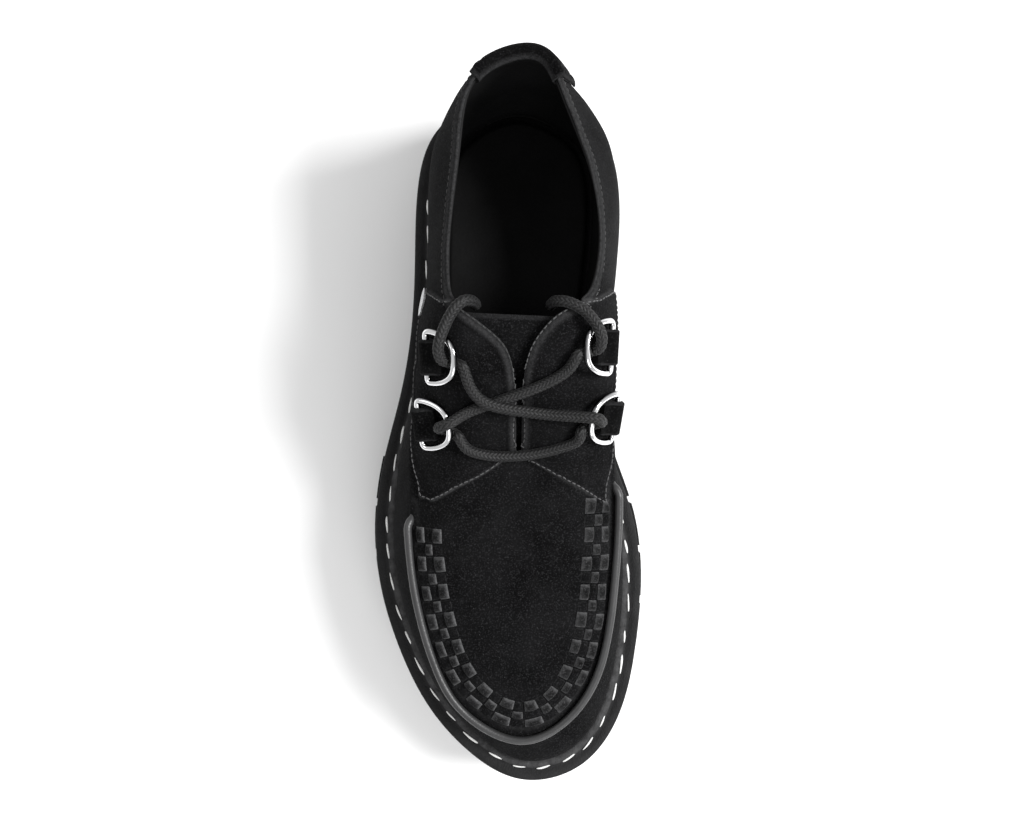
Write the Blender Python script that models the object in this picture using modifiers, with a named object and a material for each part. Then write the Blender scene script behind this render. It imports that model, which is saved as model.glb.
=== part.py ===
"""Creeper shoe, the right shoe of a pair.

Toe towards -Y, heel towards +Y, big-toe side (medial) towards +X, up is +Z, in metres. The origin is
on the floor, under the middle of the sole's box. Outsole, welt, upper, piping, back strap, tongue,
insole, four D-rings in folded tabs, lace, two sole screws and a bare side badge are separate solids.
"""

import math

import bmesh
import bpy
import numpy as np
from mathutils import Matrix, Vector
from mathutils.bvhtree import BVHTree

# Driving sizes
SOLE_LENGTH = 0.300
BALL_WIDTH = 0.1215
FOREFOOT_HEIGHT = 0.031
HEEL_HEIGHT = 0.044
TOE_SPRING = 0.009
LUG_DEPTH = 0.007
LUG_LENGTH = 0.026
LUG_CLIMB = 0.015
LUG_GAP = 0.0036
LUG_NOTCH = 0.0022
CROSS_SIZE = 0.0135
WAIST_RISE = 0.008
WELT_SETBACK = 0.003
WELT_WIDTH = 0.0095
WELT_THICKNESS = 0.0035
WELT_RIDGE = 0.0018
UPPER_HEIGHT = 0.068
UPPER_WALL = 0.0022
INSOLE_THICKNESS = 0.0045
INSOLE_CLEARANCE = 0.0021
TONGUE_THICKNESS = 0.0025
PIPING_RADIUS = 0.0016
STRAP_THICKNESS = 0.0016
RING_WIDTH = 0.019
RING_DEPTH = 0.0135
RING_WIRE = 0.0012
RING_SQUARENESS = 0.7
TAB_LEATHER = 0.0013
TAB_LENGTH = 0.0130
TAB_REACH = 0.0072
LACE_RADIUS = 0.0018
LACE_STEP = 0.0047
SCREW_RADIUS = 0.0036
SCREW_HEAD = 0.0016
BADGE_LENGTH = 0.011
BADGE_HEIGHT = 0.006
BADGE_THICKNESS = 0.001
FIT = 0.0003

HALF_WIDTH = BALL_WIDTH / 2
SKIRT = WELT_THICKNESS + WELT_RIDGE + FIT
UPPER_INSET = WELT_SETBACK + WELT_WIDTH + FIT
INSOLE_INSET = UPPER_INSET + UPPER_WALL + INSOLE_CLEARANCE

# Where the sole changes along its length, as shares from toe to heel
TOE_BREAK = 0.233
TREAD_END = 0.477
HEEL_BREAST = 0.707

FOREFOOT_LUGS = 15
HEEL_LUGS = 12
PROFILE_STEPS = 36
OUTLINE_STEPS = 72
RIBS = 66
SIDE_STEPS = 4
TOP_STEPS = 6
PIPING_STEPS = 30
INSOLE_STEPS = 60

# Tread outline, counter-clockwise from the toe tip when seen from above:
# share of the length from the toe, share of half the ball width towards the big-toe side
OUTLINE = [
    (0.000, 0.160),
    (0.026, 0.575),
    (0.103, 0.855),
    (0.205, 0.972),
    (0.305, 0.998),
    (0.395, 0.934),
    (0.480, 0.790),
    (0.570, 0.706),
    (0.665, 0.758),
    (0.760, 0.816),
    (0.850, 0.822),
    (0.930, 0.705),
    (0.982, 0.400),
    (1.000, 0.069),
    (0.982, -0.262),
    (0.930, -0.562),
    (0.850, -0.678),
    (0.760, -0.697),
    (0.665, -0.719),
    (0.570, -0.806),
    (0.480, -0.928),
    (0.385, -0.998),
    (0.290, -0.972),
    (0.195, -0.838),
    (0.100, -0.592),
    (0.028, -0.225),
]

# Ribs of the upper, from the middle of the heel round the little-toe side, the toe and back. The ridge is
# the widest line of the quarters and the piped edge of the apron; the edge is the collar, then the throat
# slit. Sideways: share of half the ball width, along: share of the length from the middle towards the
# heel, rise: share of the upper's height above the sole. Leans are degrees from upright, inwards.
RIB_COLUMNS = (
    "ridge_side", "ridge_along", "ridge_rise", "edge_side", "edge_along", "edge_rise",
    "lean_side", "lean_top", "lean_edge",
)
RIB_TABLE = [
    (0.080, 0.4690, 0.45, 0.080, 0.4580, 1.000, 2, 2, 14),
    (-0.290, 0.4400, 0.45, -0.210, 0.4260, 0.990, 4, 3, 24),
    (-0.480, 0.3760, 0.43, -0.305, 0.3510, 0.925, 8, 8, 24),
    (-0.532, 0.2830, 0.41, -0.362, 0.2680, 0.840, 10, 10, 26),
    (-0.543, 0.2030, 0.42, -0.375, 0.2070, 0.842, 12, 12, 26),
    (-0.565, 0.1420, 0.56, -0.338, 0.1660, 0.945, 12, 12, 44),
    (-0.586, 0.0950, 0.66, -0.232, 0.1450, 1.010, 12, 15, 64),
    (-0.612, 0.0480, 0.68, -0.100, 0.1250, 1.000, 14, 20, 73),
    (-0.634, 0.0030, 0.65, -0.004, 0.1030, 0.985, 18, 26, 74),
    (-0.643, -0.0400, 0.57, 0.036, 0.0680, 0.940, 29, 34, 73),
    (-0.642, -0.0840, 0.54, 0.045, 0.0300, 0.878, 30, 46, 73),
    (-0.635, -0.1340, 0.52, 0.047, 0.0030, 0.822, 28, 56, 72),
    (-0.608, -0.1930, 0.50, 0.048, -0.0110, 0.796, 28, 62, 69),
    (-0.546, -0.2560, 0.48, 0.052, -0.0180, 0.785, 28, 66, 67),
    (-0.452, -0.3150, 0.455, 0.058, -0.0210, 0.779, 28, 69, 66),
    (-0.280, -0.3700, 0.425, 0.064, -0.0225, 0.776, 28, 70, 65),
    (0.050, -0.4060, 0.41, 0.071, -0.0230, 0.775, 28, 71, 64),
    (0.338, -0.3870, 0.425, 0.078, -0.0225, 0.776, 28, 70, 65),
    (0.527, -0.3420, 0.455, 0.084, -0.0210, 0.779, 28, 69, 66),
    (0.630, -0.2840, 0.48, 0.090, -0.0180, 0.785, 28, 66, 67),
    (0.680, -0.2130, 0.50, 0.094, -0.0110, 0.796, 28, 62, 69),
    (0.704, -0.1470, 0.52, 0.096, 0.0030, 0.822, 28, 56, 72),
    (0.711, -0.0900, 0.54, 0.099, 0.0300, 0.878, 30, 46, 73),
    (0.700, -0.0400, 0.60, 0.108, 0.0680, 0.940, 20, 30, 78),
    (0.690, 0.0070, 0.68, 0.142, 0.1030, 0.985, 12, 22, 78),
    (0.682, 0.0500, 0.73, 0.214, 0.1270, 1.000, 8, 18, 78),
    (0.676, 0.0970, 0.73, 0.312, 0.1460, 1.010, 6, 14, 72),
    (0.684, 0.1470, 0.62, 0.448, 0.1630, 0.958, 8, 8, 50),
    (0.697, 0.2000, 0.48, 0.545, 0.1930, 0.880, 9, 9, 28),
    (0.728, 0.2870, 0.41, 0.586, 0.2530, 0.830, 10, 10, 22),
    (0.716, 0.3440, 0.42, 0.520, 0.3270, 0.875, 8, 8, 22),
    (0.612, 0.4050, 0.44, 0.368, 0.4000, 0.965, 4, 4, 14),
    (0.372, 0.4545, 0.45, 0.262, 0.4445, 0.996, 3, 2, 20),
]
LEAN_FOOT = -14

# Cross lugs under the ball and the heel: share from the toe, share of half the ball width, degrees
CROSS_LUGS = [
    (0.161, 0.132, 35),
    (0.229, 0.206, 30),
    (0.256, -0.095, 35),
    (0.322, 0.181, 25),
    (0.354, -0.199, 28),
    (0.432, -0.069, 32),
    (0.782, 0.064, 0),
    (0.863, 0.095, 0),
]
SCREW_ALONG = 0.604
SCREW_SPREAD = 0.0205
PLATE_LENGTH = 0.054
PLATE_WIDTH = 0.017
PLATE_SINK = 0.0012

# The piping runs between these shares of the way round the ribs, and the back strap between these ribs,
# so many rows down from the collar
PIPING_SPAN = (0.315, 0.685)
STRAP_RIBS = (-3, 2)
STRAP_ROWS = 4

# D-rings: share of half the width, share of the length from the middle, degrees that the bar is turned,
# degrees that the bow dips from the quarter's own slope at the bar
RINGS = {
    "lateral_upper": (-0.448, 0.1004, 12, 4),
    "lateral_lower": (-0.515, 0.0206, 8, 2),
    "medial_upper": (0.582, 0.1110, -8, 3),
    "medial_lower": (0.632, 0.0283, -12, 2),
}

# The tongue: where it starts and stops along, its half widths and its middle
TONGUE_FROM = -0.078
TONGUE_TO = 0.150
TONGUE_LOW = 0.20
TONGUE_HIGH = 0.34
TONGUE_MIDDLE = 0.06

BADGE_ALONG = 0.172
BADGE_RISE = 0.60

# The lace between its rings: sideways, along, and how far its underside is above the upper
LACE_TOP_BAR = [
    (-0.0130, 0.0170, 0.0040),
    (-0.0060, 0.0115, 0.0048),
    (0.0130, 0.0085, 0.0030),
]
LACE_LOW_BAR = [
    (0.0262, -0.0020, 0.0028),
    (0.0110, -0.0064, 0.0012),
    (-0.0040, -0.0074, 0.0012),
    (-0.0150, -0.0050, 0.0022),
]
LACE_UNDER_BAR = [
    (-0.0150, 0.0090, 0.0022),
    (-0.0060, 0.0122, 0.0014),
    (0.0120, 0.0185, 0.0012),
    (0.0220, 0.0240, 0.0020),
]
# The lace's two ends, from the upper rings over the collar's corners and down behind the tongue
LACE_ENDS = {
    "lace_end_lateral": [
        (-0.0222, 0.0272, 0.1056),
        (-0.0231, 0.0275, 0.1062),
        (-0.0241, 0.0286, 0.1078),
        (-0.0246, 0.0312, 0.1098),
        (-0.0240, 0.0346, 0.1112),
        (-0.0225, 0.0386, 0.1115),
        (-0.0206, 0.0426, 0.1115),
        (-0.0182, 0.0462, 0.1118),
        (-0.0154, 0.0485, 0.1110),
        (-0.0129, 0.0489, 0.1080),
        (-0.0119, 0.0487, 0.1040),
        (-0.0116, 0.0486, 0.1000),
    ],
    "lace_end_medial": [
        (0.0313, 0.0311, 0.1083),
        (0.0323, 0.0314, 0.1087),
        (0.0333, 0.0324, 0.1103),
        (0.0336, 0.0350, 0.1123),
        (0.0325, 0.0382, 0.1133),
        (0.0304, 0.0416, 0.1132),
        (0.0276, 0.0446, 0.1130),
        (0.0240, 0.0469, 0.1126),
        (0.0203, 0.0483, 0.1112),
        (0.0173, 0.0487, 0.1078),
        (0.0163, 0.0485, 0.1036),
        (0.0161, 0.0484, 0.0996),
    ],
}

# Colour, roughness and metallic value of each material
MATERIALS = {
    "suede": ((0.018, 0.018, 0.019), 0.95, 0.0),
    "rubber": ((0.020, 0.020, 0.021), 0.6, 0.0),
    "piping": ((0.045, 0.045, 0.047), 0.4, 0.0),
    "lining": ((0.012, 0.012, 0.013), 0.8, 0.0),
    "cotton": ((0.035, 0.035, 0.036), 0.85, 0.0),
    "chrome": ((0.82, 0.82, 0.83), 0.15, 1.0),
    "steel": ((0.70, 0.70, 0.71), 0.3, 1.0),
}


class Loop:
    """A closed cubic spline through evenly numbered values; at(u) reads it at a share of the way round."""

    def __init__(self, values):
        self.values = np.array(values, float)
        count = len(self.values)
        system = 4 * np.eye(count)
        for i in range(count):
            system[i, (i - 1) % count] += 1
            system[i, (i + 1) % count] += 1
        before, after = np.roll(self.values, 1, axis=0), np.roll(self.values, -1, axis=0)
        self.bend = np.linalg.solve(system, 6 * (before - 2 * self.values + after))

    def at(self, u):
        count = len(self.values)
        place = (u % 1.0) * count
        i = int(place) % count
        j = (i + 1) % count
        b = place - int(place)
        a = 1 - b
        curve = ((a**3 - a) * self.bend[i] + (b**3 - b) * self.bend[j]) / 6
        return a * self.values[i] + b * self.values[j] + curve


def smoothstep(x):
    x = min(1.0, max(0.0, x))
    return x * x * (3 - 2 * x)


def share_along(y):
    return y / SOLE_LENGTH + 0.5


def toe_lift(y):
    """How far the toe spring lifts the sole at y."""
    return TOE_SPRING * max(0.0, 1 - share_along(y) / TOE_BREAK) ** 2


def sole_top(y):
    rise = smoothstep((share_along(y) - TREAD_END) / (HEEL_BREAST - TREAD_END))
    return FOREFOOT_HEIGHT + toe_lift(y) + (HEEL_HEIGHT - FOREFOOT_HEIGHT) * rise


def sole_underside(y):
    t = share_along(y)
    waist = smoothstep((t - TREAD_END) / 0.06) * (1 - smoothstep((t - HEEL_BREAST + 0.012) / 0.012))
    return LUG_DEPTH + toe_lift(y) + WAIST_RISE * waist


outline_loop = Loop([((t - 0.5) * SOLE_LENGTH, side * HALF_WIDTH) for t, side in OUTLINE])


def dense_outline(count=960):
    """Points and inward normals at even steps along the tread outline."""
    raw = np.array([outline_loop.at(k / count) for k in range(count)])
    points = np.stack([raw[:, 1], raw[:, 0]], axis=1)
    steps = np.linalg.norm(np.roll(points, -1, axis=0) - points, axis=1)
    along = np.concatenate([[0.0], np.cumsum(steps)])
    closed = np.vstack([points, points[:1]])
    at = np.linspace(0, along[-1], count, endpoint=False)
    even = np.stack([np.interp(at, along, closed[:, k]) for k in (0, 1)], axis=1)
    ahead = np.roll(even, -1, axis=0) - np.roll(even, 1, axis=0)
    ahead /= np.linalg.norm(ahead, axis=1)[:, None]
    return even, np.stack([-ahead[:, 1], ahead[:, 0]], axis=1), ahead, along[-1]


EDGE, EDGE_IN, EDGE_AHEAD, EDGE_LENGTH = dense_outline()


def edge_point(place, inset):
    """A point at a length along the tread outline, moved inwards by inset."""
    k = place / EDGE_LENGTH * len(EDGE)
    i, share = int(math.floor(k)) % len(EDGE), k - math.floor(k)
    j = (i + 1) % len(EDGE)
    point = EDGE[i] * (1 - share) + EDGE[j] * share
    inward = EDGE_IN[i] * (1 - share) + EDGE_IN[j] * share
    return point + inward * inset


def outline(inset, count=OUTLINE_STEPS):
    return [edge_point(k * EDGE_LENGTH / count, inset) for k in range(count)]


def edge_place(t, side):
    """The length along the outline at a share t from the toe, on the medial (1) or lateral (-1) side."""
    y = (t - 0.5) * SOLE_LENGTH
    middle = EDGE[:, 0].mean()
    on_side = (EDGE[:, 0] - middle) * side > 0
    k = np.argmin(np.where(on_side, np.abs(EDGE[:, 1] - y), 1.0))
    return k / len(EDGE) * EDGE_LENGTH


rib_loops = {name: Loop([row[k] for row in RIB_TABLE]) for k, name in enumerate(RIB_COLUMNS)}


def bezier(a, b, c, d, s):
    r = 1 - s
    return r**3 * a + 3 * r * r * s * b + 3 * r * s * s * c + s**3 * d


def rib(u):
    """The four curves' points of one rib: foot, side handles, ridge, top handles and edge."""
    col = {name: float(loop.at(u)) for name, loop in rib_loops.items()}
    y_ridge, y_edge = col["ridge_along"] * SOLE_LENGTH, col["edge_along"] * SOLE_LENGTH
    ridge = np.array([
        col["ridge_side"] * HALF_WIDTH,
        y_ridge,
        sole_top(y_ridge) + col["ridge_rise"] * UPPER_HEIGHT,
    ])
    edge = np.array([
        col["edge_side"] * HALF_WIDTH,
        y_edge,
        sole_top(y_edge) + col["edge_rise"] * UPPER_HEIGHT,
    ])
    foot_line = EDGE + EDGE_IN * UPPER_INSET
    k = int(np.argmin(np.linalg.norm(foot_line - ridge[:2], axis=1)))
    inward = np.array([*EDGE_IN[k], 0.0])
    ahead = np.array([*EDGE_AHEAD[k], 0.0])
    foot = np.array([*foot_line[k], sole_top(foot_line[k][1]) + FIT + SKIRT])
    up = np.array([0.0, 0.0, 1.0])

    def leaning(direction, degrees):
        a = math.radians(degrees)
        return direction * math.sin(a) + up * math.cos(a)

    side = np.linalg.norm(ridge - foot)
    top = np.linalg.norm(edge - ridge)
    chord = (edge - ridge) / top
    plan = np.array([chord[0], chord[1], 0.0])
    plan /= max(np.linalg.norm(plan), 1e-9)
    leave = leaning(inward, col["lean_top"]) + ahead * float(chord @ ahead)
    return {
        "foot": foot,
        "inward": inward,
        "side": (
            foot,
            foot + 0.38 * side * leaning(inward, LEAN_FOOT),
            ridge - 0.38 * side * leaning(inward, col["lean_side"]),
            ridge,
        ),
        "top": (
            ridge,
            ridge + 0.40 * top * leave,
            edge - 0.36 * top * leaning(plan, col["lean_edge"]),
            edge,
        ),
    }


def surface(u, v):
    """A point of the upper's outer face: v is 0 at the foot, 1 at the ridge and 2 at the edge."""
    curves = rib(u)
    if v <= 1:
        return bezier(*curves["side"], v)
    return bezier(*curves["top"], v - 1)


def surface_normal(u, v):
    """The outward normal of the upper's outer face."""
    low, high = max(0.0, v - 0.01), min(2.0, v + 0.01)
    if v > 1 >= low:
        low = 1.0 + 1e-6
    across = surface(u + 0.002, v) - surface(u - 0.002, v)
    upward = surface(u, high) - surface(u, low)
    normal = np.cross(across, upward)
    return normal / np.linalg.norm(normal)


def clear_scene():
    for obj in list(bpy.data.objects):
        bpy.data.objects.remove(obj, do_unlink=True)
    shoe = bpy.data.collections.new("creeper_shoe")
    cutters = bpy.data.collections.new("cutters")
    for collection in (shoe, cutters):
        bpy.context.scene.collection.children.link(collection)
    return shoe, cutters


def material(name):
    if name in bpy.data.materials:
        return bpy.data.materials[name]
    colour, roughness, metallic = MATERIALS[name]
    made = bpy.data.materials.new(name)
    made.use_nodes = True
    shader = made.node_tree.nodes["Principled BSDF"]
    shader.inputs["Base Color"].default_value = (*colour, 1)
    shader.inputs["Roughness"].default_value = roughness
    shader.inputs["Metallic"].default_value = metallic
    return made


def add(name, mesh, finish, collection, angle=35):
    """Puts a mesh in the scene as a named object with its material, shaded smooth between sharp edges."""
    obj = bpy.data.objects.new(name, mesh)
    collection.objects.link(obj)
    mesh.materials.clear()
    mesh.materials.append(material(finish))
    mesh.shade_smooth()
    mesh.set_sharp_from_angle(angle=math.radians(angle))
    return obj


def outward(bm):
    bmesh.ops.recalc_face_normals(bm, faces=bm.faces)
    if bm.calc_volume(signed=True) < 0:
        bmesh.ops.reverse_faces(bm, faces=bm.faces)


def lofted(name, sections, closed_round=False, caps=True):
    """A mesh through equal sections of points; closed_round joins the last section to the first."""
    bm = bmesh.new()
    rows = [[bm.verts.new(Vector(p)) for p in section] for section in sections]
    count = len(rows[0])
    spans = len(rows) if closed_round else len(rows) - 1
    for i in range(spans):
        a, b = rows[i], rows[(i + 1) % len(rows)]
        for k in range(count):
            bm.faces.new((a[k], a[(k + 1) % count], b[(k + 1) % count], b[k]))
    if caps and not closed_round:
        bm.faces.new(rows[0])
        bm.faces.new(rows[-1])
    outward(bm)
    mesh = bpy.data.meshes.new(name)
    bm.to_mesh(mesh)
    bm.free()
    return mesh


def curve_mesh(name, curve, matrix):
    """The closed mesh of a curve object, with its caps welded on."""
    guide = bpy.data.objects.new(name + "_curve", curve)
    bpy.context.scene.collection.objects.link(guide)
    guide.matrix_world = matrix
    bpy.context.view_layer.update()
    shape = guide.evaluated_get(bpy.context.evaluated_depsgraph_get())
    mesh = bpy.data.meshes.new_from_object(shape)
    mesh.name = name
    mesh.transform(matrix)
    bpy.data.objects.remove(guide, do_unlink=True)
    bm = bmesh.new()
    bm.from_mesh(mesh)
    bmesh.ops.remove_doubles(bm, verts=bm.verts, dist=1e-6)
    outward(bm)
    bm.to_mesh(mesh)
    bm.free()
    return mesh


def extruded(name, loops, low, high, matrix=None):
    """Flat closed loops drawn in a plane and extruded from low to high along its normal."""
    curve = bpy.data.curves.new(name, "CURVE")
    curve.dimensions = "2D"
    curve.fill_mode = "BOTH"
    curve.extrude = (high - low) / 2
    for loop in loops:
        spline = curve.splines.new("POLY")
        spline.points.add(len(loop) - 1)
        for point, (x, y) in zip(spline.points, loop):
            point.co = (x, y, 0, 1)
        spline.use_cyclic_u = True
    lift = Matrix.Translation((0, 0, (high + low) / 2))
    return curve_mesh(name, curve, (matrix or Matrix.Identity(4)) @ lift)


def tube(name, points, radius, resolution=2, cyclic=False):
    curve = bpy.data.curves.new(name, "CURVE")
    curve.dimensions = "3D"
    curve.bevel_depth = radius
    curve.bevel_resolution = resolution
    curve.use_fill_caps = True
    spline = curve.splines.new("POLY")
    spline.points.add(len(points) - 1)
    for point, place in zip(spline.points, points):
        point.co = (*place, 1)
    spline.use_cyclic_u = cyclic
    return curve_mesh(name, curve, Matrix.Identity(4))


def combine(obj, tool, operation, cutters):
    """Applies a Boolean of obj with a tool mesh, and keeps the result as obj's own mesh."""
    helper = bpy.data.objects.new(tool.name + "_tool", tool)
    cutters.objects.link(helper)
    helper.hide_render = True
    helper.display_type = "WIRE"
    step = obj.modifiers.new(operation.lower(), "BOOLEAN")
    step.operation = operation
    step.object = helper
    bpy.context.view_layer.update()
    shape = obj.evaluated_get(bpy.context.evaluated_depsgraph_get())
    result = bpy.data.meshes.new_from_object(shape)
    obj.modifiers.clear()
    obj.data = result
    bpy.data.objects.remove(helper, do_unlink=True)


def smooth_path(points, step):
    """Points about step apart on a smooth curve through a route's own points."""
    knots = [Vector(p) for p in points]
    knots = [2 * knots[0] - knots[1], *knots, 2 * knots[-1] - knots[-2]]
    path = []
    for a, b, c, d in zip(knots, knots[1:], knots[2:], knots[3:]):
        pieces = max(1, round((c - b).length / step))
        for k in range(pieces):
            s = k / pieces
            path.append(
                0.5 * (2 * b + (c - a) * s + (2 * a - 5 * b + 4 * c - d) * s**2
                       + (3 * b - a - 3 * c + d) * s**3)
            )
    return [*path, knots[-2]]


PROFILE_YS = [
    (0.5 - 0.5 * math.cos(math.pi * k / PROFILE_STEPS) - 0.5) * SOLE_LENGTH * 1.02
    for k in range(PROFILE_STEPS + 1)
]
# The profiles are drawn along the length and up, and extruded across the shoe
ACROSS = Matrix(((0, 0, 1, 0), (1, 0, 0, 0), (0, 1, 0, 0), (0, 0, 0, 1)))


def profile_slab(name, low, high):
    """A slab across the whole width between two height functions."""
    ys = sorted(set(PROFILE_YS) | {(t - 0.5) * SOLE_LENGTH for t in (TREAD_END, HEEL_BREAST, 0.695)})
    loop = [(y, low(y)) for y in ys] + [(y, high(y)) for y in reversed(ys)]
    return extruded(name, [loop], -BALL_WIDTH, BALL_WIDTH, ACROSS)


def side_lug(start, end):
    """The plan of one tread bar between two places on the outline, pinched half way in."""
    middle, reach = 0.48 * LUG_LENGTH, 0.15 * LUG_LENGTH
    left, right = start + LUG_GAP / 2, end - LUG_GAP / 2
    depths = (0, middle - reach, middle, middle + reach, LUG_LENGTH)
    pinch = (0, 0, LUG_NOTCH, 0, 0)
    one = [edge_point(left + p, d) for d, p in zip(depths, pinch)]
    other = [edge_point(right - p, d) for d, p in zip(depths, pinch)]
    outer = [edge_point(left + (right - left) * s, 0) for s in (1 / 3, 2 / 3)]
    return [*reversed(one), *outer, *other]


def cross_lug(t, side, degrees):
    """A cross with flared arms."""
    centre = np.array([side * HALF_WIDTH, (t - 0.5) * SOLE_LENGTH])
    arm = [(0.16, -0.16), (0.50, -0.30), (0.50, 0.30)]
    loop = []
    for quarter in range(4):
        a = math.radians(degrees + 90 * quarter)
        turn = np.array([[math.cos(a), -math.sin(a)], [math.sin(a), math.cos(a)]])
        loop += [centre + turn @ (np.array(p) * CROSS_SIZE) for p in arm]
    return loop


def tread_plans():
    plans = []
    first, last = edge_place(TREAD_END, -1), edge_place(TREAD_END, 1) + EDGE_LENGTH
    pitch = (last - first) / FOREFOOT_LUGS
    plans += [side_lug(first + k * pitch, first + (k + 1) * pitch) for k in range(FOREFOOT_LUGS)]
    first, last = edge_place(HEEL_BREAST + 0.01, 1), edge_place(HEEL_BREAST + 0.01, -1)
    pitch = (last - first) / HEEL_LUGS
    plans += [side_lug(first + k * pitch, first + (k + 1) * pitch) for k in range(HEEL_LUGS)]
    return plans + [cross_lug(*row) for row in CROSS_LUGS]


def add_outsole(shoe, cutters):
    body = extruded("outsole", [outline(WELT_SETBACK)], -0.01, 0.1)
    outsole = add("outsole", body, "rubber", shoe, angle=25)
    combine(outsole, profile_slab("core", sole_underside, sole_top), "INTERSECT", cutters)
    lugs = add("lugs", extruded("lugs", tread_plans(), -0.01, 0.1), "rubber", shoe)
    combine(lugs, profile_slab("climb", toe_lift, lambda y: toe_lift(y) + LUG_CLIMB), "INTERSECT", cutters)
    tread = lugs.data
    bpy.data.objects.remove(lugs, do_unlink=True)
    combine(outsole, tread, "UNION", cutters)
    centre = (SCREW_ALONG - 0.5) * SOLE_LENGTH
    corners = [(-0.5, -0.5), (0.5, -0.5), (0.5, 0.5), (-0.5, 0.5)]
    plate = [(x * PLATE_LENGTH, centre + y * PLATE_WIDTH) for x, y in corners]
    sink = sole_underside(centre) + PLATE_SINK
    combine(outsole, extruded("plate", [plate], -0.01, sink), "DIFFERENCE", cutters)
    return outsole


def add_screws(shoe):
    """Two low round heads in the bare plate's recess."""
    y = (SCREW_ALONG - 0.5) * SOLE_LENGTH
    top = sole_underside(y) + PLATE_SINK - FIT
    for number, x in enumerate((-SCREW_SPREAD, SCREW_SPREAD), start=1):
        bpy.ops.mesh.primitive_cylinder_add(vertices=20, radius=SCREW_RADIUS, depth=SCREW_HEAD)
        made = bpy.context.object
        mesh = made.data
        bpy.data.objects.remove(made, do_unlink=True)
        screw = add(f"sole_screw_{number}", mesh, "steel", shoe)
        rounding = screw.modifiers.new("rounding", "BEVEL")
        rounding.width = 0.25 * SCREW_HEAD
        rounding.segments = 1
        screw.location = (x, y, top - SCREW_HEAD / 2)


def add_welt(shoe):
    """A flat strip on the sole's rim, with a raised ridge along its inner edge."""
    inner = WELT_SETBACK + WELT_WIDTH
    section = [
        (WELT_SETBACK, FIT),
        (WELT_SETBACK, WELT_THICKNESS),
        (inner - 0.0040, WELT_THICKNESS),
        (inner - 0.0033, WELT_THICKNESS + 0.75 * WELT_RIDGE),
        (inner - 0.0020, WELT_THICKNESS + WELT_RIDGE),
        (inner - 0.0006, WELT_THICKNESS + 0.75 * WELT_RIDGE),
        (inner, WELT_THICKNESS),
        (inner, FIT),
    ]
    sections = []
    for k in range(OUTLINE_STEPS):
        place = k * EDGE_LENGTH / OUTLINE_STEPS
        ring = []
        for inset, height in section:
            x, y = edge_point(place, inset)
            ring.append((x, y, sole_top(y) + height))
        sections.append(ring)
    add("welt", lofted("welt", sections, closed_round=True), "rubber", shoe)


def add_upper(shoe):
    """The outer face as an open grid of ribs, given its wall inwards."""
    bm = bmesh.new()
    rows = []
    for k in range(RIBS):
        u = k / RIBS
        curves = rib(u)
        foot = curves["foot"]
        points = [foot - np.array([0, 0, SKIRT])]
        points += [bezier(*curves["side"], i / SIDE_STEPS) for i in range(SIDE_STEPS)]
        points += [bezier(*curves["top"], i / TOP_STEPS) for i in range(TOP_STEPS + 1)]
        rows.append([bm.verts.new(Vector(p)) for p in points])
    for i in range(RIBS):
        a, b = rows[i], rows[(i + 1) % RIBS]
        for k in range(len(a) - 1):
            bm.faces.new((a[k], b[k], b[k + 1], a[k + 1]))
    mesh = bpy.data.meshes.new("upper")
    bm.to_mesh(mesh)
    bm.free()
    upper = add("upper", mesh, "suede", shoe, angle=50)
    wall = upper.modifiers.new("wall", "SOLIDIFY")
    wall.thickness = UPPER_WALL
    wall.offset = -1
    wall.use_even_offset = True
    return upper


def evaluated_tree(obj):
    bpy.context.view_layer.update()
    shape = obj.evaluated_get(bpy.context.evaluated_depsgraph_get())
    mesh = bpy.data.meshes.new_from_object(shape)
    tree = BVHTree.FromPolygons(
        [obj.matrix_world @ v.co for v in mesh.vertices], [tuple(p.vertices) for p in mesh.polygons]
    )
    bpy.data.meshes.remove(mesh)
    return tree


def add_insole(shoe, cutters):
    body = extruded("insole", [outline(INSOLE_INSET, INSOLE_STEPS)], -0.01, 0.1)
    insole = add("insole", body, "lining", shoe, angle=25)
    slab = profile_slab(
        "bed", lambda y: sole_top(y) + FIT, lambda y: sole_top(y) + FIT + INSOLE_THICKNESS
    )
    combine(insole, slab, "INTERSECT", cutters)


def add_piping(shoe):
    """A cord laid outside the apron's edge, its two ends running out beside the lobes."""
    low, high = PIPING_SPAN
    points = []
    for k in range(PIPING_STEPS + 1):
        u = low + (high - low) * k / PIPING_STEPS
        side, top = surface_normal(u, 0.97), surface_normal(u, 1.03)
        bisector = (side + top) / np.linalg.norm(side + top)
        points.append(surface(u, 1.0) + bisector * (PIPING_RADIUS + FIT))
    add("apron_piping", tube("apron_piping", points, PIPING_RADIUS), "piping", shoe)


def add_back_strap(shoe):
    """A folded strap saddled over the collar at the heel, its outer leg the longer."""
    near, far = FIT, FIT + STRAP_THICKNESS
    inside = UPPER_WALL + 2 * FIT
    up = np.array([0.0, 0.0, 1.0])
    sections = []
    for k in range(STRAP_RIBS[0], STRAP_RIBS[1] + 1):
        u = k / RIBS
        outer = [
            (surface(u, 2 - i / TOP_STEPS), surface_normal(u, 2 - i / TOP_STEPS))
            for i in range(STRAP_ROWS, -1, -1)
        ]
        low, low_normal = surface(u, 2 - 1 / TOP_STEPS), surface_normal(u, 2 - 1 / TOP_STEPS)
        top, normal = outer[-1]
        ring = [place + across * near for place, across in outer]
        ring += [
            top + up * 1.5 * near + normal * near,
            top + up * 1.5 * near - normal * inside,
            low - low_normal * inside,
            low - low_normal * (inside + STRAP_THICKNESS),
            top - normal * (inside + STRAP_THICKNESS),
            top - normal * inside + up * (far + near),
            top + up * (far + near),
        ]
        ring += [place + across * far for place, across in reversed(outer)]
        sections.append(ring)
    add("back_strap", lofted("back_strap", sections), "suede", shoe)


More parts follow.
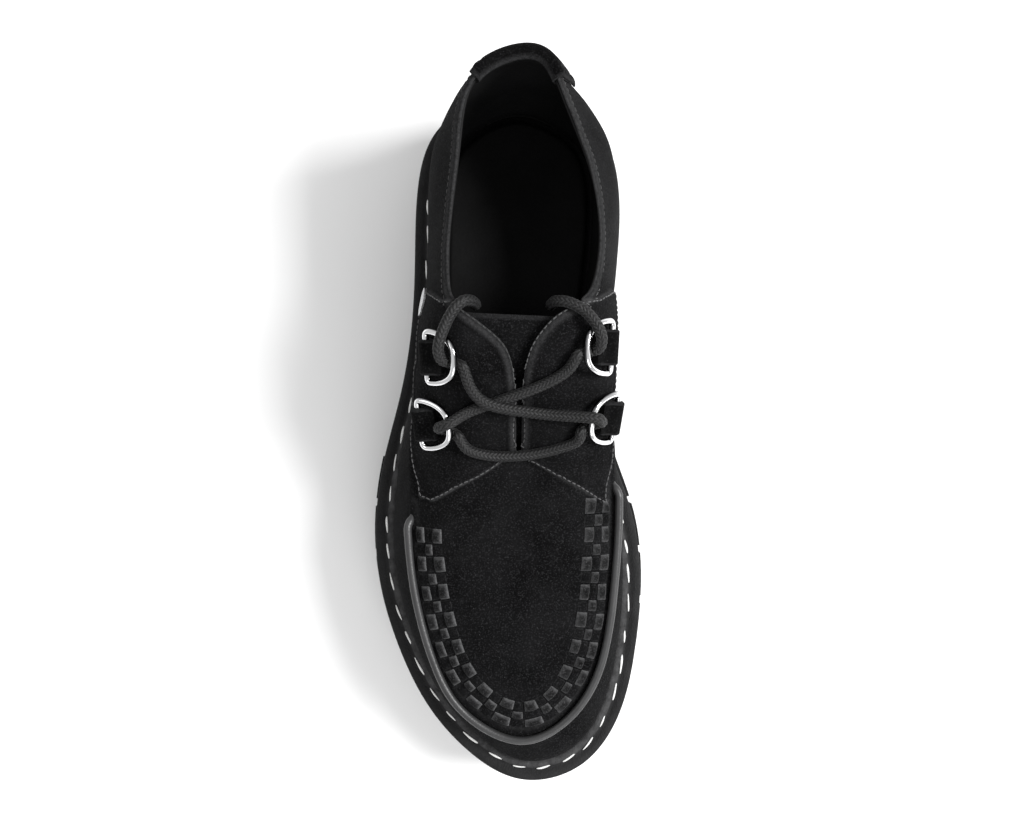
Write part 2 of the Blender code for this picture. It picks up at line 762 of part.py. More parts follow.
def wall_hit(tree, x, y, z, direction):
    """Where a ray from a point meets the upper, and the normal there."""
    place, normal, _, _ = tree.ray_cast(Vector((x, y, z)), Vector(direction))
    return place, normal


def add_tongue(shoe, tree):
    """A strip under the lobes, laid against the inside of the wall and carried straight on past it."""
    rows, columns = 13, 11
    start, stop = TONGUE_FROM * SOLE_LENGTH, TONGUE_TO * SOLE_LENGTH
    under = 2 * FIT
    grid = []
    for j in range(rows):
        share = j / (rows - 1)
        y = start + (stop - start) * share
        half = HALF_WIDTH * (TONGUE_LOW + (TONGUE_HIGH - TONGUE_LOW) * share)
        middle = TONGUE_MIDDLE * HALF_WIDTH
        row = []
        for i in range(columns):
            x = middle + half * (2 * i / (columns - 1) - 1)
            from_below = sole_top(y) + 0.35 * UPPER_HEIGHT
            place, normal = wall_hit(tree, x, y, from_below, (0, 0, 1))
            if place is None or normal.z > -0.2:
                row.append(None)
            else:
                row.append(np.array(place + normal * under))
        found = [i for i, p in enumerate(row) if p is not None]
        if len(found) < 2:
            row = [2 * a - b for a, b in zip(grid[-1], grid[-2])]
        else:
            known = np.array([row[i] for i in found])
            row = [
                np.array([np.interp(i, found, known[:, k]) for k in range(3)]) for i in range(columns)
            ]
        grid.append(row)
    bm = bmesh.new()
    verts = [[bm.verts.new(Vector(p)) for p in row] for row in grid]
    for j in range(rows - 1):
        for i in range(columns - 1):
            a, b = verts[j], verts[j + 1]
            bm.faces.new((a[i], a[i + 1], b[i + 1], b[i]))
    mesh = bpy.data.meshes.new("tongue")
    bm.to_mesh(mesh)
    bm.free()
    tongue = add("tongue", mesh, "suede", shoe, angle=50)
    thick = tongue.modifiers.new("thickness", "SOLIDIFY")
    thick.thickness = TONGUE_THICKNESS
    thick.offset = -1
    thick.use_even_offset = True


TAB_PROBE_X = TAB_LENGTH / 8
TAB_PROBE_Y = TAB_LENGTH / 3
TAB_LIFT = 1.5 * FIT


def ring_frames(tree):
    """Each D-ring's bar: its middle on the quarter, along the bar, up the quarter and outwards."""
    frames = {}
    for name, (side, along, turn, dip) in RINGS.items():
        x, y = side * HALF_WIDTH, along * SOLE_LENGTH
        place, _ = wall_hit(tree, x, y, 4 * UPPER_HEIGHT, (0, 0, -1))
        hits = [
            wall_hit(tree, x + a, y + b, 4 * UPPER_HEIGHT, (0, 0, -1))
            for a, b in ((0, 0), (TAB_PROBE_X, 0), (-TAB_PROBE_X, 0), (0, TAB_PROBE_Y), (0, -TAB_PROBE_Y))
        ]
        normal = sum((hit[1] for hit in hits), Vector()).normalized()
        place = place + normal * TAB_LIFT
        bar = Vector((math.sin(math.radians(turn)), math.cos(math.radians(turn)), 0))
        bar = (bar - normal * bar.dot(normal)).normalized()
        climb = bar.cross(normal)
        if climb.x * side > 0:
            climb = -climb
        frames[name] = (place, bar, climb, normal, math.radians(dip))
    return frames


BAR_HEIGHT = FIT + TAB_LEATHER + FIT + RING_WIRE
LACE_STANDOFF = RING_WIRE + LACE_RADIUS + 1.5 * FIT


def ring_place(frame, along, reach, lift):
    """A point given in a D-ring's own plane: along its bar, out to its bow, and above its plane."""
    place, bar, climb, normal, dip = frame
    out = climb * math.cos(dip) - normal * math.sin(dip)
    above = normal * math.cos(dip) + climb * math.sin(dip)
    return place + normal * BAR_HEIGHT + bar * along + out * reach + above * lift


def add_rings(shoe, frames):
    half, corner = RING_WIDTH / 2, 0.0016
    shape = [(s * (half - corner), 0.0) for s in (-1, -0.33, 0.33, 1)]
    shape.append((half - 0.3 * corner, 0.3 * corner))
    for k in range(11):
        a = math.pi * k / 10
        side = math.copysign(abs(math.cos(a)) ** RING_SQUARENESS, math.cos(a))
        shape.append((half * side, corner + (RING_DEPTH - corner) * math.sin(a)))
    shape.append((0.3 * corner - half, 0.3 * corner))
    for name, frame in frames.items():
        points = [ring_place(frame, along, reach, 0) for along, reach in shape]
        ring = tube("d_ring_" + name, points, RING_WIRE, resolution=1, cyclic=True)
        add("d_ring_" + name, ring, "chrome", shoe)


def add_tabs(shoe, frames):
    """Leather folded round each ring's bar and stitched to itself on the quarter."""
    hole = RING_WIRE + FIT
    outer = hole + TAB_LEATHER
    loop = [(TAB_REACH, FIT), (TAB_REACH, FIT + 2 * TAB_LEATHER)]
    for k in range(11):
        a = math.radians(70 + 20 * k)
        loop.append((outer * math.cos(a), BAR_HEIGHT + outer * math.sin(a)))
    eye = [
        (hole * 1.04 * math.cos(k * math.pi / 6), BAR_HEIGHT + hole * 1.04 * math.sin(k * math.pi / 6))
        for k in range(12)
    ]
    for name, (place, bar, climb, normal, _) in frames.items():
        axes = Matrix((climb, normal, climb.cross(normal))).transposed().to_4x4()
        matrix = Matrix.Translation(place) @ axes
        tab = extruded("ring_tab_" + name, [loop, eye], -TAB_LENGTH / 2, TAB_LENGTH / 2, matrix)
        add("ring_tab_" + name, tab, "suede", shoe)


# The lace's tip in an upper ring: along the bar in metres, then past the bow and above it in standoffs
LACE_TIP = [(-0.001, -1.05, -0.1), (-0.002, -0.7, -0.75), (-0.003, 0.4, -0.95)]


def wrap(frame, start, end):
    """The lace round a ring's bow: over the wire, down through the ring and back under it."""
    turn = [(0.9, 0.95), (-0.1, 1.05), (-0.85, 0.7), (-1.1, 0.0), (-0.85, -0.7), (-0.1, -1.0), (0.7, -0.8)]
    points = []
    for k, (reach, lift) in enumerate(turn):
        along = start + (end - start) * k / (len(turn) - 1)
        points.append(ring_place(frame, along, RING_DEPTH + reach * LACE_STANDOFF, lift * LACE_STANDOFF))
    return points


def over(tree, spots):
    """Points above the upper's face: sideways and along in metres, and the height of the lace's underside."""
    points = []
    for x, y, clear in spots:
        place, _ = wall_hit(tree, x, y, 4 * UPPER_HEIGHT, (0, 0, -1))
        points.append(place + Vector((0, 0, LACE_RADIUS + clear)))
    return points


def lace_route(tree, frames):
    lateral_upper, lateral_lower = frames["lateral_upper"], frames["lateral_lower"]
    medial_upper, medial_lower = frames["medial_upper"], frames["medial_lower"]
    start, stop = [
        [
            ring_place(ring, along, RING_DEPTH + reach * LACE_STANDOFF, lift * LACE_STANDOFF)
            for along, reach, lift in LACE_TIP
        ]
        for ring in (lateral_upper, medial_upper)
    ]
    return [
        *start,
        *over(tree, LACE_TOP_BAR),
        *wrap(medial_lower, 0.003, -0.005),
        *over(tree, LACE_LOW_BAR),
        *reversed(wrap(lateral_lower, 0.003, -0.005)),
        *over(tree, LACE_UNDER_BAR),
        *reversed(stop),
    ]


def add_lace(shoe, tree, frames):
    path = smooth_path(lace_route(tree, frames), LACE_STEP)
    add("lace_crossings", tube("lace_crossings", path, LACE_RADIUS), "cotton", shoe)
    for name, route in LACE_ENDS.items():
        add(name, tube(name, smooth_path(route, LACE_STEP), LACE_RADIUS), "cotton", shoe)


def add_badge(shoe, tree):
    """A bare oval tag on the outer quarter, below the front of the collar."""
    y = BADGE_ALONG * SOLE_LENGTH
    z = sole_top(y) + BADGE_RISE * UPPER_HEIGHT
    place, normal = wall_hit(tree, -BALL_WIDTH, y, z, (1, 0, 0))
    ahead = Vector((0, 1, 0))
    ahead = (ahead - normal * ahead.dot(normal)).normalized()
    loop = [
        (BADGE_LENGTH / 2 * math.cos(k * math.pi / 12), BADGE_HEIGHT / 2 * math.sin(k * math.pi / 12))
        for k in range(24)
    ]
    matrix = Matrix((ahead, normal.cross(ahead), normal)).transposed().to_4x4()
    matrix = Matrix.Translation(place) @ matrix
    tag = extruded("side_badge", [loop], 2 * FIT, 2 * FIT + BADGE_THICKNESS, matrix)
    add("side_badge", tag, "steel", shoe)


shoe_parts, cutter_parts = clear_scene()
add_outsole(shoe_parts, cutter_parts)
add_screws(shoe_parts)
add_welt(shoe_parts)
upper_tree = evaluated_tree(add_upper(shoe_parts))
add_insole(shoe_parts, cutter_parts)
add_piping(shoe_parts)
add_back_strap(shoe_parts)
add_tongue(shoe_parts, upper_tree)
d_rings = ring_frames(upper_tree)
add_rings(shoe_parts, d_rings)
add_tabs(shoe_parts, d_rings)
add_lace(shoe_parts, upper_tree, d_rings)
add_badge(shoe_parts, upper_tree)
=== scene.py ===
"""The looks of the creeper shoe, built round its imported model.

Metres, toe towards -Y, big-toe side towards +X, up is +Z. The camera looks straight down, as the
photograph does. Each visible surface is a fine mesh on the same outlines and ribs as the model's.
"""

import math

import bmesh
import bpy
import numpy as np
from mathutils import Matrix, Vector
from mathutils.bvhtree import BVHTree


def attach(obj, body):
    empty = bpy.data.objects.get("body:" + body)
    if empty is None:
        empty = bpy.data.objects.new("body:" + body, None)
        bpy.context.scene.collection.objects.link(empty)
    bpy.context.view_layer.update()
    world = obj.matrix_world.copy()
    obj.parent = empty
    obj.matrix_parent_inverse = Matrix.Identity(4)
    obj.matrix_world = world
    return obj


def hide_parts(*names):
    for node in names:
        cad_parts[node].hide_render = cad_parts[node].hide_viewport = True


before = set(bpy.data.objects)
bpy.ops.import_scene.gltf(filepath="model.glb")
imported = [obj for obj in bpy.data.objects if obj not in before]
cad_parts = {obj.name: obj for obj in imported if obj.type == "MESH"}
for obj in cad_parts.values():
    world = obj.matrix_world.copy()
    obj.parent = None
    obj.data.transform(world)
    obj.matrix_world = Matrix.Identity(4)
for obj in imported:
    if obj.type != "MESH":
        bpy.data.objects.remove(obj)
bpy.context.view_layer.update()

# The photograph: its size, the pixels of a metre at one metre away, and the pixel straight under the camera
PHOTO_WIDTH = 1024
PHOTO_HEIGHT = 818
PHOTO_FOCUS = 952.7
PHOTO_CENTRE = (370, 437)
CAMERA_SPOT = (0.00175, 0.0, 0.450)

# The model's own sizes
SOLE_LENGTH = 0.300
BALL_WIDTH = 0.1215
FOREFOOT_HEIGHT = 0.031
HEEL_HEIGHT = 0.044
TOE_SPRING = 0.009
LUG_DEPTH = 0.007
LUG_LENGTH = 0.026
LUG_CLIMB = 0.015
LUG_GAP = 0.0036
LUG_NOTCH = 0.0022
CROSS_SIZE = 0.0135
WAIST_RISE = 0.008
WELT_SETBACK = 0.003
WELT_WIDTH = 0.0095
WELT_THICKNESS = 0.0035
WELT_RIDGE = 0.0018
UPPER_HEIGHT = 0.068
UPPER_WALL = 0.0022
INSOLE_THICKNESS = 0.0045
INSOLE_CLEARANCE = 0.0021
TONGUE_THICKNESS = 0.0025
PIPING_RADIUS = 0.0016
STRAP_THICKNESS = 0.0016
RING_WIDTH = 0.019
RING_DEPTH = 0.0135
RING_WIRE = 0.0012
RING_SQUARENESS = 0.7
TAB_LEATHER = 0.0013
TAB_LENGTH = 0.0130
TAB_REACH = 0.0072
LACE_RADIUS = 0.0018
SCREW_RADIUS = 0.0036
SCREW_HEAD = 0.0016
FIT = 0.0003

HALF_WIDTH = BALL_WIDTH / 2
SKIRT = WELT_THICKNESS + WELT_RIDGE + FIT
UPPER_INSET = WELT_SETBACK + WELT_WIDTH + FIT
INSOLE_INSET = UPPER_INSET + UPPER_WALL + INSOLE_CLEARANCE
TOE_BREAK = 0.233
TREAD_END = 0.477
HEEL_BREAST = 0.707
FOREFOOT_LUGS = 15
HEEL_LUGS = 12
SCREW_ALONG = 0.604
SCREW_SPREAD = 0.0205
PLATE_LENGTH = 0.054
PLATE_WIDTH = 0.017
PLATE_SINK = 0.0012

# Share of the length from the toe, share of half the ball width towards the big-toe side
OUTLINE = [
    (0.000, 0.160),
    (0.026, 0.575),
    (0.103, 0.855),
    (0.205, 0.972),
    (0.305, 0.998),
    (0.395, 0.934),
    (0.480, 0.790),
    (0.570, 0.706),
    (0.665, 0.758),
    (0.760, 0.816),
    (0.850, 0.822),
    (0.930, 0.705),
    (0.982, 0.400),
    (1.000, 0.069),
    (0.982, -0.262),
    (0.930, -0.562),
    (0.850, -0.678),
    (0.760, -0.697),
    (0.665, -0.719),
    (0.570, -0.806),
    (0.480, -0.928),
    (0.385, -0.998),
    (0.290, -0.972),
    (0.195, -0.838),
    (0.100, -0.592),
    (0.028, -0.225),
]

# Ribs of the upper from the middle of the heel round the little-toe side, the toe and back, as in the model
RIB_COLUMNS = (
    "ridge_side", "ridge_along", "ridge_rise", "edge_side", "edge_along", "edge_rise",
    "lean_side", "lean_top", "lean_edge",
)
RIB_TABLE = [
    (0.080, 0.4690, 0.45, 0.080, 0.4580, 1.000, 2, 2, 14),
    (-0.290, 0.4400, 0.45, -0.210, 0.4260, 0.990, 4, 3, 24),
    (-0.480, 0.3760, 0.43, -0.305, 0.3510, 0.925, 8, 8, 24),
    (-0.532, 0.2830, 0.41, -0.362, 0.2680, 0.840, 10, 10, 26),
    (-0.543, 0.2030, 0.42, -0.375, 0.2070, 0.842, 12, 12, 26),
    (-0.565, 0.1420, 0.56, -0.338, 0.1660, 0.945, 12, 12, 44),
    (-0.586, 0.0950, 0.66, -0.232, 0.1450, 1.010, 12, 15, 64),
    (-0.612, 0.0480, 0.68, -0.100, 0.1250, 1.000, 14, 20, 73),
    (-0.634, 0.0030, 0.65, -0.004, 0.1030, 0.985, 18, 26, 74),
    (-0.643, -0.0400, 0.57, 0.036, 0.0680, 0.940, 29, 34, 73),
    (-0.642, -0.0840, 0.54, 0.045, 0.0300, 0.878, 30, 46, 73),
    (-0.635, -0.1340, 0.52, 0.047, 0.0030, 0.822, 28, 56, 72),
    (-0.608, -0.1930, 0.50, 0.048, -0.0110, 0.796, 28, 62, 69),
    (-0.546, -0.2560, 0.48, 0.052, -0.0180, 0.785, 28, 66, 67),
    (-0.452, -0.3150, 0.455, 0.058, -0.0210, 0.779, 28, 69, 66),
    (-0.280, -0.3700, 0.425, 0.064, -0.0225, 0.776, 28, 70, 65),
    (0.050, -0.4060, 0.41, 0.071, -0.0230, 0.775, 28, 71, 64),
    (0.338, -0.3870, 0.425, 0.078, -0.0225, 0.776, 28, 70, 65),
    (0.527, -0.3420, 0.455, 0.084, -0.0210, 0.779, 28, 69, 66),
    (0.630, -0.2840, 0.48, 0.090, -0.0180, 0.785, 28, 66, 67),
    (0.680, -0.2130, 0.50, 0.094, -0.0110, 0.796, 28, 62, 69),
    (0.704, -0.1470, 0.52, 0.096, 0.0030, 0.822, 28, 56, 72),
    (0.711, -0.0900, 0.54, 0.099, 0.0300, 0.878, 30, 46, 73),
    (0.700, -0.0400, 0.60, 0.108, 0.0680, 0.940, 20, 30, 78),
    (0.690, 0.0070, 0.68, 0.142, 0.1030, 0.985, 12, 22, 78),
    (0.682, 0.0500, 0.73, 0.214, 0.1270, 1.000, 8, 18, 78),
    (0.676, 0.0970, 0.73, 0.312, 0.1460, 1.010, 6, 14, 72),
    (0.684, 0.1470, 0.62, 0.448, 0.1630, 0.958, 8, 8, 50),
    (0.697, 0.2000, 0.48, 0.545, 0.1930, 0.880, 9, 9, 28),
    (0.728, 0.2870, 0.41, 0.586, 0.2530, 0.830, 10, 10, 22),
    (0.716, 0.3440, 0.42, 0.520, 0.3270, 0.875, 8, 8, 22),
    (0.612, 0.4050, 0.44, 0.368, 0.4000, 0.965, 4, 4, 14),
    (0.372, 0.4545, 0.45, 0.262, 0.4445, 0.996, 3, 2, 20),
]
LEAN_FOOT = -14
PIPING_SPAN = (0.315, 0.685)

CROSS_LUGS = [
    (0.161, 0.132, 35),
    (0.229, 0.206, 30),
    (0.256, -0.095, 35),
    (0.322, 0.181, 25),
    (0.354, -0.199, 28),
    (0.432, -0.069, 32),
    (0.782, 0.064, 0),
    (0.863, 0.095, 0),
]

# D-rings: share of half the width, share of the length, degrees of the bar's turn and of the bow's dip
RINGS = {
    "lateral_upper": (-0.448, 0.1004, 12, 4),
    "lateral_lower": (-0.515, 0.0206, 8, 2),
    "medial_upper": (0.582, 0.1110, -8, 3),
    "medial_lower": (0.632, 0.0283, -12, 2),
}

TONGUE_FROM = -0.078
TONGUE_TO = 0.150
TONGUE_LOW = 0.20
TONGUE_HIGH = 0.34
TONGUE_MIDDLE = 0.06

# The lace between its rings: sideways, along, and how far its underside is above the upper
LACE_TOP_BAR = [
    (-0.0130, 0.0170, 0.0040),
    (-0.0060, 0.0115, 0.0048),
    (0.0130, 0.0085, 0.0030),
]
LACE_LOW_BAR = [
    (0.0262, -0.0020, 0.0028),
    (0.0110, -0.0064, 0.0012),
    (-0.0040, -0.0074, 0.0012),
    (-0.0150, -0.0050, 0.0022),
]
LACE_UNDER_BAR = [
    (-0.0150, 0.0090, 0.0022),
    (-0.0060, 0.0122, 0.0014),
    (0.0120, 0.0185, 0.0012),
    (0.0220, 0.0240, 0.0020),
]
LACE_ENDS = {
    "lace_end_lateral": [
        (-0.0222, 0.0272, 0.1056),
        (-0.0231, 0.0275, 0.1062),
        (-0.0241, 0.0286, 0.1078),
        (-0.0246, 0.0312, 0.1098),
        (-0.0240, 0.0346, 0.1112),
        (-0.0225, 0.0386, 0.1115),
        (-0.0206, 0.0426, 0.1115),
        (-0.0182, 0.0462, 0.1118),
        (-0.0154, 0.0485, 0.1110),
        (-0.0129, 0.0489, 0.1080),
        (-0.0119, 0.0487, 0.1040),
        (-0.0116, 0.0486, 0.1000),
    ],
    "lace_end_medial": [
        (0.0313, 0.0311, 0.1083),
        (0.0323, 0.0314, 0.1087),
        (0.0333, 0.0324, 0.1103),
        (0.0336, 0.0350, 0.1123),
        (0.0325, 0.0382, 0.1133),
        (0.0304, 0.0416, 0.1132),
        (0.0276, 0.0446, 0.1130),
        (0.0240, 0.0469, 0.1126),
        (0.0203, 0.0483, 0.1112),
        (0.0173, 0.0487, 0.1078),
        (0.0163, 0.0485, 0.1036),
        (0.0161, 0.0484, 0.0996),
    ],
}

# Surface detail
UPPER_COLUMNS = 600
SIDE_LEVELS = 30
TOP_LEVELS = 84
FACING_THICKNESS = 0.0011
BINDING_WIDTH = 0.0034
STRAP_TOP_SPAN = (-0.0455, 0.0290)
STRAP_LOW_SPAN = (-0.0400, 0.0120)
STITCH_PITCH = 0.0024
STITCH_LENGTH = 0.0017
STITCH_RADIUS = 0.00024
BRAID_PITCH = 0.0016
BRAID_PROUD = 0.00034
WELT_STITCH_PITCH = 0.0138
WELT_STITCH_LENGTH = 0.0094
WELT_STITCH_RADIUS = 0.00050
WEAVE_UNITS = 17
WEAVE_INSET = 0.0098
WEAVE_LONG = 0.0068
WEAVE_SHORT = 0.0050
FACING_SEAM_INSET = 0.0017
THROAT_SEAM_INSET = 0.0038
THROAT_SEAM_END = -0.004
LEATHER = 0.0013
TIP_LIFT_SPAN = 0.012
SCREW_RECESS = 0.0009
RECESS_ARM = 0.62
RECESS_WIDTH = 0.15
LINE_STEP = 0.0004
THONG_RISE = 0.0017
FLAT_THONG_RISE = 0.0005
THONG_LEATHER = 0.0006
STRAP_LEG = 0.0007
STRAP_CROWN = 0.0022
BRAID_STEP = 0.00026
BRAID_SIDES = 48
BRAID_STRANDS = 8
FLOOR_HALF = 2.0
FLOOR_DROP = 0.0004

# The weave's columns from the piping inwards: where each starts and ends, from the band's middle
WEAVE_COLUMNS = [(-0.0058, -0.0019), (-0.0017, 0.0016), (0.0018, 0.0060)]

# The facing's side: share of the length, and height share from the lobe's tip back to the seam
FACING_LEVELS = [
    (-0.063, 1.07),
    (-0.033, 1.03),
    (0.013, 1.01),
    (0.053, 1.02),
    (0.088, 1.04),
    (0.097, 1.10),
    (0.133, 1.10),
    (0.173, 1.12),
    (0.188, 1.20),
    (0.185, 1.45),
    (0.175, 1.72),
]
FACING_TOP = 0.164

# The lobes' lower edges in the photograph's pixels, from the throat to the tip
LOBE_EDGE_LATERAL = [(374, 455), (360, 462), (340, 475), (315, 488), (299, 497), (290, 501), (283, 498)]
LOBE_EDGE_MEDIAL = [(379, 455), (397, 466), (425, 482), (445, 493), (456, 501), (462, 504), (468, 500)]


class Loop:
    """A closed cubic spline through evenly numbered rows of values, read at shares of the way round."""

    def __init__(self, values):
        self.values = np.array(values, float)
        count = len(self.values)
        system = 4 * np.eye(count)
        for i in range(count):
            system[i, (i - 1) % count] += 1
            system[i, (i + 1) % count] += 1
        before, after = np.roll(self.values, 1, axis=0), np.roll(self.values, -1, axis=0)
        self.bend = np.linalg.solve(system, 6 * (before - 2 * self.values + after))

    def at(self, u):
        count = len(self.values)
        place = np.mod(u, 1.0) * count
        i = np.floor(place).astype(int) % count
        j = (i + 1) % count
        b = (place - np.floor(place))[..., None]
        a = 1 - b
        curve = ((a**3 - a) * self.bend[i] + (b**3 - b) * self.bend[j]) / 6
        return a * self.values[i] + b * self.values[j] + curve


def smoothstep(x):
    x = np.clip(x, 0.0, 1.0)
    return x * x * (3 - 2 * x)


def unit(vectors):
    return vectors / np.maximum(np.linalg.norm(vectors, axis=-1, keepdims=True), 1e-12)


def bell(distance, middle, reach):
    """A soft ridge: 1 at the middle distance, falling off over the reach."""
    return np.exp(-((distance - middle) / reach) ** 2)


def turns(count):
    """Angles at even steps of a whole turn."""
    return np.arange(count) * 2 * math.pi / count


def averaged(line, kernel):
    """A line's rows averaged with their neighbours, its end rows standing for what lies past them."""
    half = len(kernel) // 2
    padded = np.vstack([np.repeat(line[:1], half, axis=0), line, np.repeat(line[-1:], half, axis=0)])
    return np.stack([np.convolve(padded[:, k], kernel, "valid") for k in range(3)], axis=1)


def toe_lift(y):
    return TOE_SPRING * np.maximum(0.0, 1 - (y / SOLE_LENGTH + 0.5) / TOE_BREAK) ** 2


def sole_top(y):
    rise = smoothstep((y / SOLE_LENGTH + 0.5 - TREAD_END) / (HEEL_BREAST - TREAD_END))
    return FOREFOOT_HEIGHT + toe_lift(y) + (HEEL_HEIGHT - FOREFOOT_HEIGHT) * rise


def sole_underside(y):
    t = y / SOLE_LENGTH + 0.5
    waist = smoothstep((t - TREAD_END) / 0.06) * (1 - smoothstep((t - HEEL_BREAST + 0.012) / 0.012))
    return LUG_DEPTH + toe_lift(y) + WAIST_RISE * waist


def dense_outline(count=2400):
    """Points, inward normals and forward tangents at even steps along the tread outline."""
    loop = Loop([((t - 0.5) * SOLE_LENGTH, side * HALF_WIDTH) for t, side in OUTLINE])
    raw = loop.at(np.arange(count) / count)[:, ::-1]
    steps = np.linalg.norm(np.roll(raw, -1, axis=0) - raw, axis=1)
    along = np.concatenate([[0.0], np.cumsum(steps)])
    closed = np.vstack([raw, raw[:1]])
    at = np.linspace(0, along[-1], count, endpoint=False)
    even = np.stack([np.interp(at, along, closed[:, k]) for k in (0, 1)], axis=1)
    ahead = unit(np.roll(even, -1, axis=0) - np.roll(even, 1, axis=0))
    return even, np.stack([-ahead[:, 1], ahead[:, 0]], axis=1), ahead, along[-1]


EDGE, EDGE_IN, EDGE_AHEAD, EDGE_LENGTH = dense_outline()


def edge_point(place, inset):
    """Points at lengths along the tread outline, moved inwards by inset."""
    k = np.asarray(place, float) / EDGE_LENGTH * len(EDGE)
    i = np.floor(k).astype(int) % len(EDGE)
    j = (i + 1) % len(EDGE)
    share = (k - np.floor(k))[..., None]
    inset = np.asarray(inset, float)[..., None]
    return (EDGE[i] * (1 - share) + EDGE[j] * share) + (EDGE_IN[i] * (1 - share) + EDGE_IN[j] * share) * inset


def edge_places(count):
    """Lengths at even steps along the whole tread outline."""
    return np.arange(count) * EDGE_LENGTH / count


def edge_place(t, side):
    """The length along the outline at which one of its sides passes a share of the shoe's length."""
    y = (t - 0.5) * SOLE_LENGTH
    on_side = (EDGE[:, 0] - EDGE[:, 0].mean()) * side > 0
    k = np.argmin(np.where(on_side, np.abs(EDGE[:, 1] - y), 1.0))
    return k / len(EDGE) * EDGE_LENGTH


def bezier(a, b, c, d, s):
    r = 1 - s
    return r**3 * a + 3 * r * r * s * b + 3 * r * s * s * c + s**3 * d


def even_fan(directions, reach=45, rounds=3):
    """Directions evened out along the ribs, so that they fan without a crease at the toe."""
    for _ in range(rounds):
        total = sum(np.roll(directions, shift, axis=0) for shift in range(-reach, reach + 1))
        directions = unit(total)
    return directions


def make_ribs(count=2000):
    """The seven points of each rib, from foot to edge, at even shares of the way round."""
    table = Loop(RIB_TABLE).at(np.arange(count) / count)
    col = {name: table[:, k] for k, name in enumerate(RIB_COLUMNS)}

    def placed(side, along, rise):
        y = along * SOLE_LENGTH
        return np.stack([side * HALF_WIDTH, y, sole_top(y) + rise * UPPER_HEIGHT], axis=1)

    ridge = placed(col["ridge_side"], col["ridge_along"], col["ridge_rise"])
    edge = placed(col["edge_side"], col["edge_along"], col["edge_rise"])
    line = EDGE + EDGE_IN * UPPER_INSET
    k = np.argmin(np.linalg.norm(line[None] - ridge[:, None, :2], axis=2), axis=1)
    flat = np.zeros((count, 1))
    inward = np.hstack([EDGE_IN[k], flat])
    even_in, even_ahead = even_fan(inward), even_fan(np.hstack([EDGE_AHEAD[k], flat]))
    foot = np.hstack([line[k], (sole_top(line[k][:, 1]) + FIT + SKIRT)[:, None]])
    up = np.array([0.0, 0.0, 1.0])

    def leaning(direction, degrees):
        a = np.radians(degrees)[..., None]
        return direction * np.sin(a) + up * np.cos(a)

    side = np.linalg.norm(ridge - foot, axis=1)[:, None]
    top = np.linalg.norm(edge - ridge, axis=1)[:, None]
    chord = (edge - ridge) / top
    plan = unit(chord * np.array([1.0, 1.0, 0.0]))
    leave = leaning(even_in, col["lean_top"]) + even_ahead * np.sum(chord * even_ahead, axis=1)[:, None]
    return [
        foot,
        foot + 0.38 * side * leaning(inward, np.full(count, LEAN_FOOT)),
        ridge - 0.38 * side * leaning(inward, col["lean_side"]),
        ridge,
        ridge + 0.40 * top * leave,
        edge - 0.36 * top * leaning(plan, col["lean_edge"]),
        edge,
    ]


RIBS = make_ribs()


def surface(u, v):
    """Points of the upper's outer face: v is 0 at the foot, 1 at the ridge and 2 at the edge."""
    count = len(RIBS[0])
    place = np.mod(u, 1.0) * count
    i = np.floor(place).astype(int) % count
    j = (i + 1) % count
    share = (place - np.floor(place))[..., None]
    foot, a, b, ridge, c, d, edge = [knots[i] * (1 - share) + knots[j] * share for knots in RIBS]
    v = np.asarray(v, float)[..., None]
    low = bezier(foot, a, b, ridge, np.clip(v, 0, 1))
    high = bezier(ridge, c, d, edge, np.clip(v - 1, 0, 1))
    return np.where(v <= 1, low, high)


def surface_normal(u, v):
    u, v = np.broadcast_arrays(np.asarray(u, float), np.asarray(v, float))
    across = surface(u + 0.0015, v) - surface(u - 0.0015, v)
    upward = surface(u, np.minimum(v + 0.012, 2)) - surface(u, np.maximum(v - 0.012, 0))
    return unit(np.cross(across, upward))


def build(name, points, faces, finish):
    """A smooth mesh object from points and faces, riding on the shoe's one body."""
    sizes = [len(face) for face in faces]
    corners = np.concatenate(faces).astype(np.int32)
    mesh = bpy.data.meshes.new(name)
    mesh.vertices.add(len(points))
    mesh.vertices.foreach_set("co", np.asarray(points, np.float32).ravel())
    mesh.loops.add(len(corners))
    mesh.loops.foreach_set("vertex_index", corners)
    mesh.polygons.add(len(sizes))
    mesh.polygons.foreach_set("loop_start", np.cumsum([0, *sizes[:-1]], dtype=np.int32))
    mesh.update(calc_edges=True)
    mesh.materials.append(finish)
    mesh.shade_smooth()
    obj = bpy.data.objects.new(name, mesh)
    bpy.context.scene.collection.objects.link(obj)
    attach(obj, "root")
    return obj


def add_attribute(obj, name, values):
    layer = obj.data.attributes.new(name, "FLOAT", "POINT")
    layer.data.foreach_set("value", np.asarray(values, np.float32))


def face_outwards(obj, merge=None, sliver=None, sharp=None):
    """Turns a closed piece's faces outwards, once its near points are merged and slivers dissolved."""
    bm = bmesh.new()
    bm.from_mesh(obj.data)
    if merge is not None:
        bmesh.ops.remove_doubles(bm, verts=bm.verts, dist=merge)
    if sliver is not None:
        bmesh.ops.dissolve_degenerate(bm, edges=bm.edges, dist=sliver)
    bmesh.ops.recalc_face_normals(bm, faces=bm.faces)
    bm.to_mesh(obj.data)
    bm.free()
    obj.data.shade_smooth()
    if sharp is not None:
        obj.data.set_sharp_from_angle(angle=math.radians(sharp))


